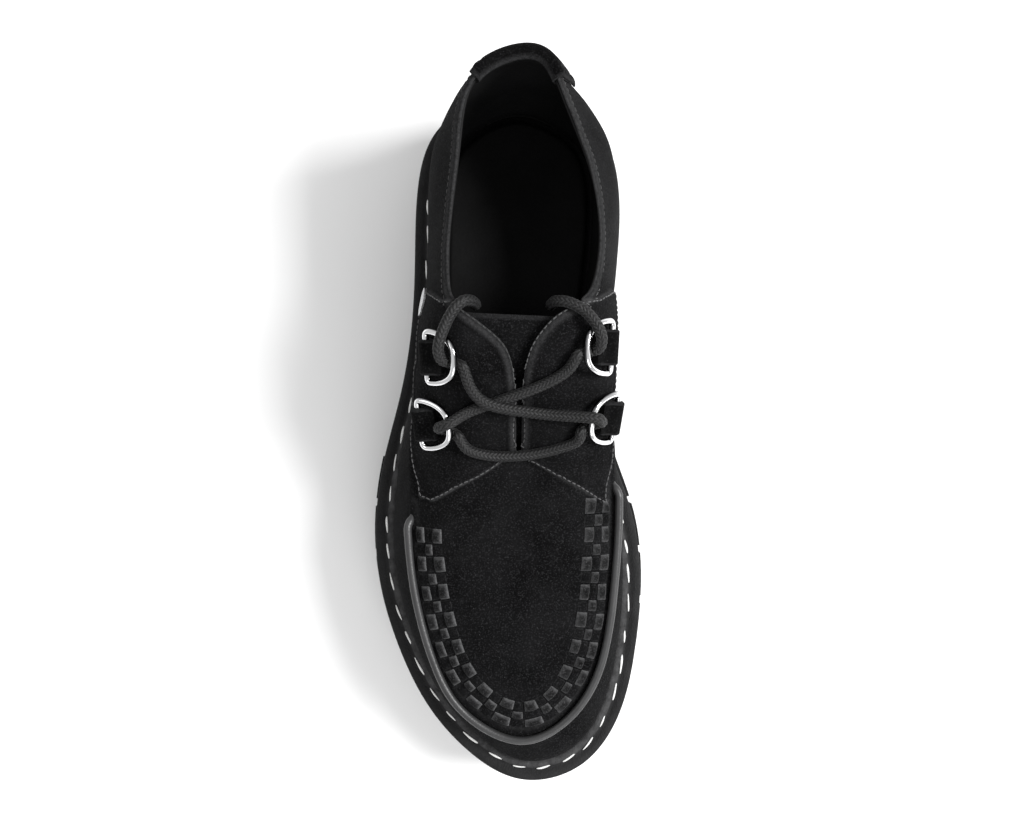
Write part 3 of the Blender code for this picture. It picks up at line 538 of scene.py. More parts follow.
def grid_faces(rows, columns, wrap_rows=False, wrap_columns=False, start=0):
    """The quads of a grid of points, closed on itself either way if told to."""
    i = np.arange(rows if wrap_rows else rows - 1)
    j = np.arange(columns if wrap_columns else columns - 1)
    a, b = np.meshgrid(i, j, indexing="ij")
    a2, b2 = (a + 1) % rows, (b + 1) % columns
    quads = [a * columns + b, a2 * columns + b, a2 * columns + b2, a * columns + b2]
    return np.stack(quads, axis=-1).reshape(-1, 4) + start


def fan(hub, first, sides, flip=False):
    """Triangles between a hub and a ring of points."""
    here, after = first + np.arange(sides), first + (np.arange(sides) + 1) % sides
    pair = (after, here) if flip else (here, after)
    return np.stack([np.full(sides, hub), *pair], axis=1).tolist()


def capped_faces(rows, columns):
    """The faces of a stack of rings, closed by one face at each end."""
    last = (rows - 1) * columns
    ends = [list(range(columns))[::-1], list(range(last, last + columns))]
    return grid_faces(rows, columns, wrap_columns=True).tolist() + ends


def resample(points, step=None, count=None, closed=False):
    """Even points along a line of points."""
    points = np.asarray(points, float)
    if closed:
        points = np.vstack([points, points[:1]])
    along = np.concatenate([[0.0], np.cumsum(np.linalg.norm(np.diff(points, axis=0), axis=1))])
    if count is None:
        count = max(2, int(round(along[-1] / step)) + 1)
    at = np.linspace(0, along[-1], count, endpoint=not closed)
    return np.stack([np.interp(at, along, points[:, k]) for k in range(3)], axis=1)


def smooth_path(points, step):
    """Points about step apart on a smooth curve through a route's own points, as in the model."""
    knots = [Vector(p) for p in points]
    knots = [2 * knots[0] - knots[1], *knots, 2 * knots[-1] - knots[-2]]
    path = []
    for a, b, c, d in zip(knots, knots[1:], knots[2:], knots[3:]):
        pieces = max(1, round((c - b).length / step))
        for k in range(pieces):
            s = k / pieces
            path.append(
                0.5 * (2 * b + (c - a) * s + (2 * a - 5 * b + 4 * c - d) * s**2
                       + (3 * b - a - 3 * c + d) * s**3)
            )
    return np.array([tuple(p) for p in [*path, knots[-2]]])


def distance_to(points, line):
    """The distance of each point from a dense line of points."""
    out = np.empty(len(points))
    for start in range(0, len(points), 4000):
        part = points[start:start + 4000]
        out[start:start + 4000] = np.sqrt(((part[:, None] - line[None]) ** 2).sum(axis=2).min(axis=1))
    return out


def inside_polygon(x, y, polygon):
    inside = np.zeros(x.shape, bool)
    for (x1, y1), (x2, y2) in zip(polygon, np.roll(polygon, -1, axis=0)):
        crosses = (y1 > y) != (y2 > y)
        at = x1 + (y - y1) / (y2 - y1 if y2 != y1 else 1e-12) * (x2 - x1)
        inside ^= crosses & (x < at)
    return inside


def sweep_frames(path):
    """Two side directions along a path, turned as little as possible."""
    tangent = unit(np.gradient(path, axis=0))
    side = np.cross(tangent[0], [0.0, 0.0, 1.0])
    if np.linalg.norm(side) < 1e-3:
        side = np.array([1.0, 0.0, 0.0])
    sides = []
    for t in tangent:
        side = side - t * (side @ t)
        side = side / np.linalg.norm(side)
        sides.append(side)
    sides = np.array(sides)
    return sides, np.cross(tangent, sides)


def tube(name, path, radius, finish, sides):
    """A round tube along a path; radius may be one value for each ring, or for each ring and side."""
    first, second = sweep_frames(path)
    angle = turns(sides)[None, :, None]
    radius = np.broadcast_to(np.asarray(radius, float), (len(path), sides))
    around = first[:, None] * np.cos(angle) + second[:, None] * np.sin(angle)
    rings = (path[:, None] + around * radius[..., None]).reshape(-1, 3)
    faces = grid_faces(len(path), sides, wrap_columns=True).tolist()
    faces += fan(len(rings), 0, sides) + fan(len(rings) + 1, len(rings) - sides, sides, flip=True)
    obj = build(name, np.vstack([rings, path[:1], path[-1:]]), faces, finish)
    face_outwards(obj)
    return obj


# Materials


class Nodes:
    """Short calls for a material's nodes; where is in the object's own metres."""

    def __init__(self, name):
        self.material = bpy.data.materials.new(name)
        self.material.use_nodes = True
        self.tree = self.material.node_tree
        self.shader = self.tree.nodes["Principled BSDF"]
        self.where = self.add("ShaderNodeTexCoord").outputs["Object"]

    def add(self, kind, **settings):
        node = self.tree.nodes.new(kind)
        for key, value in settings.items():
            setattr(node, key, value)
        return node

    def link(self, source, target):
        self.tree.links.new(source, target)

    def noise(self, scale, detail=3.0, roughness=0.55):
        node = self.add("ShaderNodeTexNoise")
        node.inputs["Scale"].default_value = scale
        node.inputs["Detail"].default_value = detail
        node.inputs["Roughness"].default_value = roughness
        self.link(self.where, node.inputs["Vector"])
        return node.outputs["Fac"]

    def voronoi(self, scale):
        node = self.add("ShaderNodeTexVoronoi")
        node.inputs["Scale"].default_value = scale
        self.link(self.where, node.inputs["Vector"])
        return node.outputs["Distance"]

    def ramp(self, source, stops):
        node = self.add("ShaderNodeValToRGB")
        elements = node.color_ramp.elements
        while len(elements) < len(stops):
            elements.new(0.5)
        for element, (place, colour) in zip(elements, stops):
            element.position = place
            element.color = (*colour, 1) if isinstance(colour, tuple) else (colour, colour, colour, 1)
        self.link(source, node.inputs["Fac"])
        return node.outputs["Color"]

    def give(self, socket, value):
        """Links a socket, or sets its own value."""
        if isinstance(value, bpy.types.NodeSocket):
            self.link(value, socket)
        else:
            socket.default_value = (*value, 1) if isinstance(value, tuple) else value

    def mix(self, factor, one, other):
        node = self.add("ShaderNodeMix", data_type="RGBA")
        for socket, value in ((node.inputs[0], factor), (node.inputs[6], one), (node.inputs[7], other)):
            self.give(socket, value)
        return node.outputs[2]

    def times(self, one, other):
        node = self.add("ShaderNodeMath", operation="MULTIPLY")
        self.link(one, node.inputs[0])
        self.link(other, node.inputs[1])
        return node.outputs[0]

    def attribute(self, name):
        return self.add("ShaderNodeAttribute", attribute_name=name).outputs["Fac"]

    def bump(self, height, strength, distance, below=None):
        node = self.add("ShaderNodeBump")
        node.inputs["Strength"].default_value = strength
        node.inputs["Distance"].default_value = distance
        self.link(height, node.inputs["Height"])
        if below is not None:
            self.link(below, node.inputs["Normal"])
        return node.outputs["Normal"]

    def finish(self, colour, **values):
        """Gives the shader its colour and the inputs named by the other words."""
        self.give(self.shader.inputs["Base Color"], colour)
        for name, value in values.items():
            self.give(self.shader.inputs[name.replace("_", " ").title().replace("Ior", "IOR")], value)
        return self.material


def suede(name, dark, light, edge_light):
    """Brushed suede: short nap in clouds, fine fibres, light specks, and lighter rubbed edges."""
    n = Nodes(name)
    clouds = n.ramp(n.noise(60, 4.0, 0.65), [(0.36, dark), (0.68, light)])
    fibres = n.noise(2600, 2.0, 0.7)
    flecks = n.ramp(n.noise(1500, 2.0, 0.7), [(0.52, 0.0), (0.74, 1.0)])
    fleck_colour = tuple(3.4 * c for c in light)
    colour = n.mix(flecks, clouds, fleck_colour)
    specks = n.ramp(n.noise(2100, 1.0, 0.5), [(0.76, 0.0), (0.82, 0.5)])
    colour = n.mix(specks, colour, (0.16, 0.16, 0.165))
    patchy = n.ramp(n.noise(900, 3.0, 0.7), [(0.30, 0.35), (0.62, 1.0)])
    colour = n.mix(n.times(n.attribute("rubbed"), patchy), colour, edge_light)
    coarse = n.bump(n.noise(800, 3.0, 0.7), 0.9, 0.0005)
    fine = n.bump(fibres, 0.7, 0.00022, below=coarse)
    return n.finish(
        colour=colour, roughness=0.95, normal=fine, sheen_weight=0.025, sheen_roughness=0.5,
        sheen_tint=(0.6, 0.6, 0.61), specular_ior_level=0.03,
    )


def rubber(name, colour, edge_light, grain=0.35):
    """Moulded rubber with a fine pebble, a dusty bloom in its hollows and paler ridges where its rubbed
    attribute says.
    """
    n = Nodes(name)
    bloom = n.ramp(n.noise(38, 4.0, 0.6), [(0.40, colour), (0.72, tuple(1.7 * c for c in colour))])
    dust = n.ramp(n.noise(1700, 2.0, 0.7), [(0.55, 0.0), (0.80, 0.8)])
    bloom = n.mix(dust, bloom, tuple(3.0 * c for c in colour))
    streaks = n.ramp(n.noise(260, 4.0, 0.7), [(0.34, 0.25), (0.66, 1.0)])
    bloom = n.mix(n.times(n.attribute("rubbed"), streaks), bloom, edge_light)
    rough = n.ramp(n.noise(120, 3.0), [(0.30, 0.58), (0.75, 0.76)])
    pebble = n.bump(n.voronoi(1500), grain, 0.00025)
    soft = n.bump(n.noise(260, 3.0), 0.25, 0.0003, below=pebble)
    return n.finish(colour=bloom, roughness=rough, normal=soft, specular_ior_level=0.14)


def smooth_leather(name, colour, roughness, gloss, scale=900):
    """Smooth leather with fine pores, faint creases and pale scuffs."""
    n = Nodes(name)
    clouds = n.ramp(n.noise(70, 3.0), [(0.35, colour), (0.70, tuple(1.6 * c for c in colour))])
    scuffs = n.ramp(n.noise(1100, 3.0, 0.7), [(0.60, 0.0), (0.82, 0.5)])
    clouds = n.mix(scuffs, clouds, tuple(2.6 * c for c in colour))
    pores = n.bump(n.voronoi(scale), 0.30, 0.0002)
    creases = n.bump(n.noise(240, 5.0, 0.6), 0.25, 0.0003, below=pores)
    return n.finish(colour=clouds, roughness=roughness, normal=creases, specular_ior_level=gloss)


def braid_cotton(name):
    """Waxed cotton braid with painted shade: darker between its strands and lighter on their crests, by an
    attribute that comes with the mesh.
    """
    n = Nodes(name)
    # Painted shade: the grooves between strands take a colour ten times darker than the crests
    between, crest = (0.0018, 0.0018, 0.0018), (0.018, 0.018, 0.0184)
    strands = n.ramp(n.attribute("crest"), [(0.25, between), (1.0, crest)])
    # Light fuzz specks, partly real fibres and partly painted glint: the same noise raises the bump, so they
    # sit on its peaks
    fuzz_and_glint = n.noise(3200, 2.0, 0.7)
    colour = n.mix(n.ramp(fuzz_and_glint, [(0.56, 0.0), (0.80, 0.8)]), strands, (0.085, 0.085, 0.087))
    return n.finish(
        colour=colour, roughness=0.55, normal=n.bump(fuzz_and_glint, 0.5, 0.00015),
        sheen_weight=0.03, sheen_roughness=0.4, sheen_tint=(0.7, 0.7, 0.7), specular_ior_level=0.22,
    )


def thread(name, colour):
    """Twisted thread, with painted shade: darker where its bump sinks, between its strands."""
    n = Nodes(name)
    wave = n.noise(2400, 2.0, 0.6)
    # Painted shade: the same noise sinks the bump and darkens the colour, so the hollows come out darker
    shaded_tone = n.ramp(wave, [(0.30, tuple(0.6 * c for c in colour)), (0.65, colour)])
    return n.finish(colour=shaded_tone, roughness=0.75, normal=n.bump(wave, 0.6, 0.0002), sheen_weight=0.2)


def metal(name, colour, roughness):
    """Metal, darkened towards near-black as painted shade wherever a mesh attribute marks it."""
    n = Nodes(name)
    marks = n.noise(900, 4.0, 0.7)
    rough = n.ramp(marks, [(0.3, roughness * 0.7), (0.8, roughness * 1.5)])
    # Painted shade: the colour is mixed towards near-black by the ring's attribute
    shaded_tone = n.mix(n.attribute("painted_flank_shade"), colour, (0.05, 0.05, 0.052))
    return n.finish(colour=shaded_tone, roughness=rough, metallic=1.0, normal=n.bump(marks, 0.04, 0.0001))


SUEDE = suede("black_suede", (0.0022, 0.0022, 0.0023), (0.0060, 0.0060, 0.0063), (0.046, 0.046, 0.047))
SUEDE_TAB = suede("tab_suede", (0.0014, 0.0014, 0.0015), (0.0036, 0.0036, 0.0037), (0.030, 0.030, 0.031))
THONG = suede("thong_suede", (0.0040, 0.0040, 0.0041), (0.012, 0.012, 0.0123), (0.13, 0.13, 0.133))
RUBBER = rubber("sole_rubber", (0.0065, 0.0065, 0.0068), (0.020, 0.020, 0.0205))
WELT = rubber("welt_rubber", (0.0065, 0.0065, 0.0068), (0.050, 0.050, 0.051), grain=0.6)
PIPING = smooth_leather("piping_leather", (0.020, 0.020, 0.0205), 0.42, 0.45, scale=1600)
LINING = smooth_leather("lining_leather", (0.0048, 0.0048, 0.0050), 0.70, 0.16)
FOOTBED = smooth_leather("footbed_leather", (0.0036, 0.0036, 0.0037), 0.72, 0.12, scale=700)
COTTON = braid_cotton("braided_cotton")
WHITE_THREAD = thread("white_thread", (0.78, 0.78, 0.77))
DARK_THREAD = thread("dark_thread", (0.060, 0.060, 0.061))
# Black thread for the collar seam, and painted shade on the lateral throat seam
BLACK_THREAD_AND_SHADE = thread("black_thread_and_shade", (0.016, 0.016, 0.0165))
CHROME = metal("ring_chrome", (0.86, 0.86, 0.87), 0.13)
STEEL = metal("satin_steel", (0.74, 0.74, 0.75), 0.28)


# Places on the upper that the photograph shows

cad_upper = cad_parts["upper"]
CAD_TREE = BVHTree.FromPolygons(
    [cad_upper.matrix_world @ v.co for v in cad_upper.data.vertices],
    [tuple(p.vertices) for p in cad_upper.data.polygons],
)


def wall_hit(x, y, z, direction):
    """The point and normal at which a ray meets the model's upper."""
    return CAD_TREE.ray_cast(Vector((x, y, z)), Vector(direction))[:2]


def dropped(x, y):
    """The point and normal of the model's upper straight below a high place."""
    return wall_hit(x, y, 4 * UPPER_HEIGHT, (0, 0, -1))


def seen(pixel):
    """The point of the model's upper under a pixel of the photograph."""
    across = (pixel[0] - PHOTO_CENTRE[0]) / PHOTO_FOCUS
    along = (PHOTO_CENTRE[1] - pixel[1]) / PHOTO_FOCUS
    direction = Vector((across, along, -1)).normalized()
    place, _, _, _ = CAD_TREE.ray_cast(Vector(CAMERA_SPOT), direction)
    return np.array(place)


class Skin:
    """The upper's outer face as a fine grid, with what its panels, seams and folds add to it."""

    def __init__(self):
        self.u = (np.arange(UPPER_COLUMNS) / UPPER_COLUMNS)[:, None]
        side = np.linspace(0, 1, SIDE_LEVELS, endpoint=False)
        self.v = np.concatenate([side, np.linspace(1, 2, TOP_LEVELS)])[None, :]
        self.shape = (UPPER_COLUMNS, self.v.shape[1])
        self.base = surface(*np.broadcast_arrays(self.u, self.v))
        self.normal = surface_normal(self.u, self.v)
        self.height = np.zeros(self.shape)
        self.rubbed = np.zeros(self.shape)
        self.flat = self.base.reshape(-1, 3)

    def near(self, line, reach):
        """Distances from a line for the grid points within reach of its box, and a large value elsewhere."""
        low, high = line.min(axis=0) - reach, line.max(axis=0) + reach
        chosen = np.all((self.flat > low) & (self.flat < high), axis=1)
        out = np.full(len(self.flat), 1.0)
        out[chosen] = distance_to(self.flat[chosen], line)
        return out.reshape(self.shape)

    def on(self, uv):
        """Points of the outer face along a line of shares, dense enough to measure from."""
        uv = np.asarray(uv, float)
        steps = 12
        dense = [
            uv[k] + (uv[k + 1] - uv[k]) * s / steps for k in range(len(uv) - 1) for s in range(steps)
        ]
        dense = np.array([*dense, uv[-1]])
        return resample(surface(dense[:, 0], dense[:, 1]), step=LINE_STEP)


skin = Skin()


def at_side(along, v, side):
    """The share round at which the level v passes a place along the shoe, on one side of it."""
    us = np.linspace(0.03, 0.49, 900) if side < 0 else np.linspace(0.51, 0.97, 900)
    line = surface(us, np.full(900, v))
    return us[np.argmin(np.abs(line[:, 1] - along))]


def facing_outline(side):
    """The facing's free edge as a dense line: under the lobe, round its tip, back and up the seam."""
    pixels = np.array(LOBE_EDGE_LATERAL if side < 0 else LOBE_EDGE_MEDIAL, float)
    steps = np.linspace(0, len(pixels) - 1, 60)
    dense = np.stack([np.interp(steps, np.arange(len(pixels)), pixels[:, k]) for k in (0, 1)], axis=1)
    front = np.array([seen(p) for p in dense])
    tip = front[-1, 1] / SOLE_LENGTH
    levels = [(along * SOLE_LENGTH, v) for along, v in [(tip, FACING_LEVELS[0][1]), *FACING_LEVELS]]
    shares = [(at_side(y, v, side), v) for y, v in levels]
    shares.append((at_side(FACING_TOP * SOLE_LENGTH, 1.999, side), 2.0))
    return resample(np.vstack([front, skin.on(shares)]), step=LINE_STEP)


FACING_LINES = {side: facing_outline(side) for side in (-1, 1)}


def shape_facings():
    """Raises both facings over the vamp and quarters, with rounded, rubbed edges."""
    middle = TONGUE_MIDDLE * HALF_WIDTH
    upper_side = np.broadcast_to(skin.v, skin.shape) > 0.99
    for line in FACING_LINES.values():
        plan = np.vstack([line[::4, :2], [(middle, line[-1, 1])], [(middle, line[0, 1])]])
        inside = inside_polygon(skin.base[..., 0], skin.base[..., 1], plan) & upper_side
        gap = skin.near(line, 0.012)
        signed = np.where(inside, np.where(gap < 1, gap, 0.01), -gap)
        skin.height += FACING_THICKNESS * smoothstep((signed + 0.0003) / 0.0009)
        skin.height -= 0.00022 * bell(signed, 0.0026, 0.0006)
        skin.height -= 0.00035 * bell(signed, -0.0009, 0.0008)
        skin.rubbed += 0.8 * bell(signed, 0.0003, 0.0006)


def shape_edges():
    """The folded binding round the collar and throat, thicker than the skin beside it."""
    edge = surface(np.linspace(0, 1, 1600, endpoint=False), np.full(1600, 2.0))
    gap = skin.near(edge, 0.012)
    skin.height += 0.00045 * (1 - smoothstep((gap - BINDING_WIDTH + 0.0006) / 0.0009))
    skin.height -= 0.0006 * bell(gap, 0, 0.0008)
    skin.height -= 0.00025 * bell(gap, BINDING_WIDTH, 0.0005)
    skin.rubbed += 0.55 * bell(gap, 0.0010, 0.0011)


def shape_apron():
    """The gutter in which the piping lies, and the mudguard's pull towards the welt."""
    us = np.linspace(PIPING_SPAN[0] - 0.006, PIPING_SPAN[1] + 0.006, 900)
    ridge = surface(us, np.ones(900))
    gap = skin.near(ridge, 0.02)
    above = np.broadcast_to(skin.v, skin.shape) > 1
    skin.height -= np.where(above, 0.0006, 0.0002) * bell(gap, 0.0022, 0.0011)
    skin.rubbed += 0.25 * bell(gap, 0.0030, 0.0012) * above


def shape_folds():
    """Soft hollows where the shoe bends and is pulled by its lace, in the shoe's own sizes."""
    x, y, z = skin.base[..., 0], skin.base[..., 1], skin.base[..., 2]
    high = smoothstep((np.broadcast_to(skin.v, skin.shape) - 0.2) / 0.5)
    # Each row: sideways, along, half length across, half length along, depth, degrees turned
    folds = [
        (0.000, -0.036, 0.026, 0.0055, -0.0011, 6),
        (0.002, -0.052, 0.030, 0.0060, -0.0007, -4),
        (0.003, -0.044, 0.028, 0.0050, 0.0007, 2),
        (-0.042, 0.012, 0.010, 0.0120, -0.0012, 30),
        (0.046, 0.010, 0.010, 0.0120, -0.0012, -30),
        (-0.034, 0.075, 0.010, 0.0200, -0.0010, 0),
        (0.042, 0.080, 0.010, 0.0220, -0.0010, 0),
        (-0.030, 0.112, 0.012, 0.0080, 0.0006, 20),
    ]
    for side, along, across_reach, along_reach, depth, degrees in folds:
        a = math.radians(degrees)
        dx, dy = x - side, y - along
        p = (dx * math.cos(a) + dy * math.sin(a)) / across_reach
        q = (-dx * math.sin(a) + dy * math.cos(a)) / along_reach
        skin.height += depth * high * np.exp(-p * p - q * q)
    waves = np.sin(x * 210 + 1.3 * np.sin(y * 90)) * np.sin(y * 160 + 2.0 * np.sin(x * 120) + z * 40)
    skin.height += 0.00016 * waves * high


def add_upper():
    """The suede shell: its outer face, its rolled edge and its own inner face."""
    shape_facings()
    shape_edges()
    shape_apron()
    shape_folds()
    outer = skin.base + skin.normal * skin.height[..., None]
    edge_normal = skin.normal[:, -1]
    up = unit(skin.base[:, -1] - skin.base[:, -3])
    centre = outer[:, -1] - edge_normal * LEATHER / 2
    roll = [
        centre + edge_normal * LEATHER / 2 * math.cos(a) + up * LEATHER / 2 * math.sin(a)
        for a in (math.pi * k / 5 for k in range(1, 5))
    ]
    levels = np.linspace(TOP_LEVELS + SIDE_LEVELS - 1, 0, 14).astype(int)
    inner = skin.base[:, levels] - skin.normal[:, levels] * LEATHER
    skirt_outer = outer[:, :1] - np.array([0, 0, SKIRT])
    skirt_inner = inner[:, -1:] - np.array([0, 0, SKIRT])
    points = np.concatenate([skirt_outer, outer, np.stack(roll, axis=1), inner, skirt_inner], axis=1)
    rows, columns = points.shape[:2]
    upper = build("upper_suede", points.reshape(-1, 3), grid_faces(rows, columns, True, True), SUEDE)
    rubbed = np.zeros((rows, columns))
    face_end = 1 + skin.shape[1]
    rubbed[:, 1:face_end] = np.clip(skin.rubbed, 0, 1)
    rubbed[:, face_end:face_end + len(roll)] = 0.6
    add_attribute(upper, "rubbed", rubbed.ravel())
    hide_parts("upper")
    return upper


def add_lining():
    """The lining against the suede's inner face, a little short of the collar's edge."""
    columns = 220
    u = (np.arange(columns) / columns)[:, None]
    v = np.linspace(0.0, 1.975, 34)[None, :]
    base = surface(*np.broadcast_arrays(u, v))
    normal = surface_normal(u, v)
    near, far = base - normal * (LEATHER + 0.00005), base - normal * UPPER_WALL
    points = np.concatenate([near, far[:, ::-1]], axis=1)
    rows, count = points.shape[:2]
    lining = build("upper_lining", points.reshape(-1, 3), grid_faces(rows, count, True, True), LINING)


upper_mesh = add_upper().data
add_lining()
SKIN_TREE = BVHTree.FromPolygons(
    [v.co for v in upper_mesh.vertices], [tuple(p.vertices) for p in upper_mesh.polygons]
)


def rest_on_skin(points, lift=0.0):
    """Points moved to the nearest place of the upper's finished face, and the normals there."""
    places, normals = [], []
    for point in points:
        place, normal, _, _ = SKIN_TREE.find_nearest(Vector(point))
        places.append(tuple(place + normal * lift))
        normals.append(tuple(normal))
    return np.array(places), np.array(normals)


def capsule(rings=6, sides=8):
    """Points and faces of a stitch of unit length and unit radius, lying along its first axis."""
    points = [(-0.5, 0.0, 0.0)]
    for k in range(1, rings):
        a = math.pi * k / rings
        reach = -0.5 * math.cos(a) * (0.6 + 0.4 * abs(math.cos(a)))
        for s in range(sides):
            b = 2 * math.pi * s / sides
            points.append((reach, math.sin(a) ** 0.6 * math.cos(b), math.sin(a) ** 0.6 * math.sin(b)))
    points.append((0.5, 0.0, 0.0))
    faces = []
    for s in range(sides):
        t = (s + 1) % sides
        faces.append((0, 1 + t, 1 + s))
        for k in range(rings - 2):
            a, b = 1 + k * sides, 1 + (k + 1) * sides
            faces.append((a + s, a + t, b + t))
            faces.append((a + s, b + t, b + s))
        last = 1 + (rings - 2) * sides
        faces.append((last + s, last + t, len(points) - 1))
    return np.array(points), np.array(faces)


def stitches(name, places, tangents, normals, finish):
    """A joined mesh of one thread capsule at each place."""
    shape, faces = capsule()
    across = unit(np.cross(normals, tangents))
    upward = np.cross(tangents, across)
    points = (
        places[:, None]
        + tangents[:, None] * (shape[None, :, :1] * STITCH_LENGTH)
        + across[:, None] * (shape[None, :, 1:2] * STITCH_RADIUS)
        + upward[:, None] * (shape[None, :, 2:] * STITCH_RADIUS)
    )
    starts = np.arange(len(places)) * len(shape)
    all_faces = (faces[None] + starts[:, None, None]).reshape(-1, 3)
    row = build(name, points.reshape(-1, 3), all_faces, finish)


def seam(name, line, finish):
    """A row of stitches along a line on the upper."""
    path = resample(line, step=STITCH_PITCH)
    middle = (path[:-1] + path[1:]) / 2
    tangent = unit(path[1:] - path[:-1])
    places, normals = rest_on_skin(middle, lift=0.3 * STITCH_RADIUS)
    tangent = unit(tangent - normals * (tangent * normals).sum(axis=1)[:, None])
    stitches(name, places, tangent, normals, finish)


def offset_on_skin(line, amount):
    """A line moved sideways over the upper by an amount, to the left of its own direction."""
    places, normals = rest_on_skin(resample(line, step=0.0012))
    tangent = unit(averaged(unit(np.gradient(places, axis=0)), np.ones(7) / 7))
    moved, _ = rest_on_skin(places + np.cross(normals, tangent) * amount)
    return moved


def side_name(side):
    return "lateral" if side < 0 else "medial"


def add_facing_seams():
    """A row of stitches inside each facing's edge."""
    for side, line in FACING_LINES.items():
        seam(f"facing_seam_{side_name(side)}", offset_on_skin(line, side * FACING_SEAM_INSET), DARK_THREAD)


def throat_line(side):
    """The lobe's free edge from the collar's corner down to the bottom of the throat."""
    us = np.linspace(0.150, 0.455, 300) if side < 0 else np.linspace(0.845, 0.520, 300)
    return surface(us, np.full(300, 2.0))


def add_throat_seams():
    """A row of stitches along each lobe's free edge, down to the bottom of the throat, the lateral row in
    blacker thread as painted shade.
    """
    # Painted shade: the lateral seam takes the blacker thread, darker than the medial seam's
    for side, finish in ((-1, BLACK_THREAD_AND_SHADE), (1, DARK_THREAD)):
        line = throat_line(side)
        line = line[line[:, 1] > THROAT_SEAM_END]
        seam(f"throat_seam_{side_name(side)}", offset_on_skin(line, side * THROAT_SEAM_INSET), finish)


def add_collar_seam():
    us = np.concatenate([np.linspace(0.855, 1.0, 200, endpoint=False), np.linspace(0.0, 0.145, 200)])
    line = surface(us, np.full(400, 2.0))
    seam("collar_seam", offset_on_skin(line, -BINDING_WIDTH), BLACK_THREAD_AND_SHADE)


# Welt and sole


def add_welt():
    """The flat rim and its ridge, closed all round, with the thread's holes along the ridge's foot."""
    inner = WELT_SETBACK + WELT_WIDTH
    section = [
        (WELT_SETBACK + 0.0004, FIT),
        (WELT_SETBACK, FIT + 0.0005),
        (WELT_SETBACK, WELT_THICKNESS - 0.0009),
        (WELT_SETBACK + 0.0003, WELT_THICKNESS - 0.0003),
        (WELT_SETBACK + 0.0009, WELT_THICKNESS),
        (inner - 0.0064, WELT_THICKNESS + 0.0001),
        (inner - 0.0054, WELT_THICKNESS - 0.0003),
        (inner - 0.0046, WELT_THICKNESS - 0.0002),
        (inner - 0.0040, WELT_THICKNESS + 0.40 * WELT_RIDGE),
        (inner - 0.0033, WELT_THICKNESS + 0.78 * WELT_RIDGE),
        (inner - 0.0024, WELT_THICKNESS + 0.97 * WELT_RIDGE),
        (inner - 0.0015, WELT_THICKNESS + WELT_RIDGE),
        (inner - 0.0006, WELT_THICKNESS + 0.80 * WELT_RIDGE),
        (inner - 0.0001, WELT_THICKNESS + 0.30 * WELT_RIDGE),
        (inner, WELT_THICKNESS - 0.0010),
        (inner, FIT),
    ]
    count = 900
    place = edge_places(count)
    dented = range(8, 11)
    ridge_rows = range(8, 13)
    notch = np.cos(place * 2 * math.pi / (EDGE_LENGTH / round(EDGE_LENGTH / WELT_STITCH_PITCH)))
    rows = []
    for k, (inset, height) in enumerate(section):
        xy = edge_point(place, inset)
        dent = 0.00030 * np.clip(notch, 0, 1) ** 3 if k in dented else 0.0
        rows.append(np.column_stack([xy, sole_top(xy[:, 1]) + height - dent]))
    points = np.stack(rows, axis=1)
    faces = grid_faces(count, len(section), wrap_rows=True, wrap_columns=True)
    welt = build("welt_rim", points.reshape(-1, 3), faces, WELT)
    ridge = np.array([1.0 if k in ridge_rows else 0.12 for k in range(len(section))])
    add_attribute(welt, "rubbed", np.tile(ridge, count))
    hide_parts("welt")


def add_welt_thread():
    """White lockstitch at the foot of the ridge, its stitches a little slanted and unlike in length."""
    count = round(EDGE_LENGTH / WELT_STITCH_PITCH)
    inner = WELT_SETBACK + WELT_WIDTH
    shape, faces = capsule(rings=14, sides=8)
    all_points, all_faces = [], []
    for k in range(count):
        long = WELT_STITCH_LENGTH * (0.84 + 0.16 * math.sin(k * 2.9) * math.cos(k * 1.1))
        middle = (k + 0.5) * EDGE_LENGTH / count + 0.0008 * math.sin(k * 1.9)
        s = shape[:, 0] + 0.5
        place = middle + (s - 0.5) * long
        sway = 0.00025 * math.sin(k * 2.4)
        inset = inner - 0.0042 + sway + 0.0006 * (s - 0.5)
        centre = edge_point(place, inset)
        arch = 0.0004 * np.sin(np.pi * s)
        height = sole_top(centre[:, 1]) + WELT_THICKNESS + 0.30 * WELT_RIDGE + arch
        i = (place / EDGE_LENGTH * len(EDGE)).astype(int) % len(EDGE)
        across = unit(np.column_stack([EDGE_IN[i], np.full(len(i), 0.35)]))
        radius = WELT_STITCH_RADIUS * (1 + 0.2 * math.sin(k * 1.7)) * (1 + 0.16 * np.sin(5 * s + 2 * k))
        points = np.column_stack([centre, height])
        points = points + across * (shape[:, 1] * radius)[:, None]
        points[:, 2] += shape[:, 2] * radius * 0.75
        all_faces.append(faces + k * len(shape))
        all_points.append(points)
    obj = build("welt_thread", np.vstack(all_points), np.vstack(all_faces), WHITE_THREAD)


def block(plan, low, high, rounding, levels=4):
    """Points and faces of an upright block on a plan, its lower edge rounded."""
    plan = np.array(plan)
    centre = plan.mean(axis=0)
    count = len(plan)
    before, after = np.roll(plan, 1, axis=0), np.roll(plan, -1, axis=0)
    t1, t2 = unit(plan - before), unit(after - plan)
    outward = unit(np.stack([t1[:, 1] + t2[:, 1], -(t1[:, 0] + t2[:, 0])], axis=1))
    if ((plan - centre) * outward).sum() < 0:
        outward = -outward
    rings = []
    for k in range(levels + 1):
        a = math.pi / 2 * k / levels
        xy = plan - outward * rounding * (1 - math.sin(a))
        rings.append(np.column_stack([xy, low(xy[:, 1]) + rounding * (1 - math.cos(a))]))
    rings.append(np.column_stack([plan, high(plan[:, 1])]))
    points = np.vstack(rings)
    return points, capped_faces(len(rings), count)


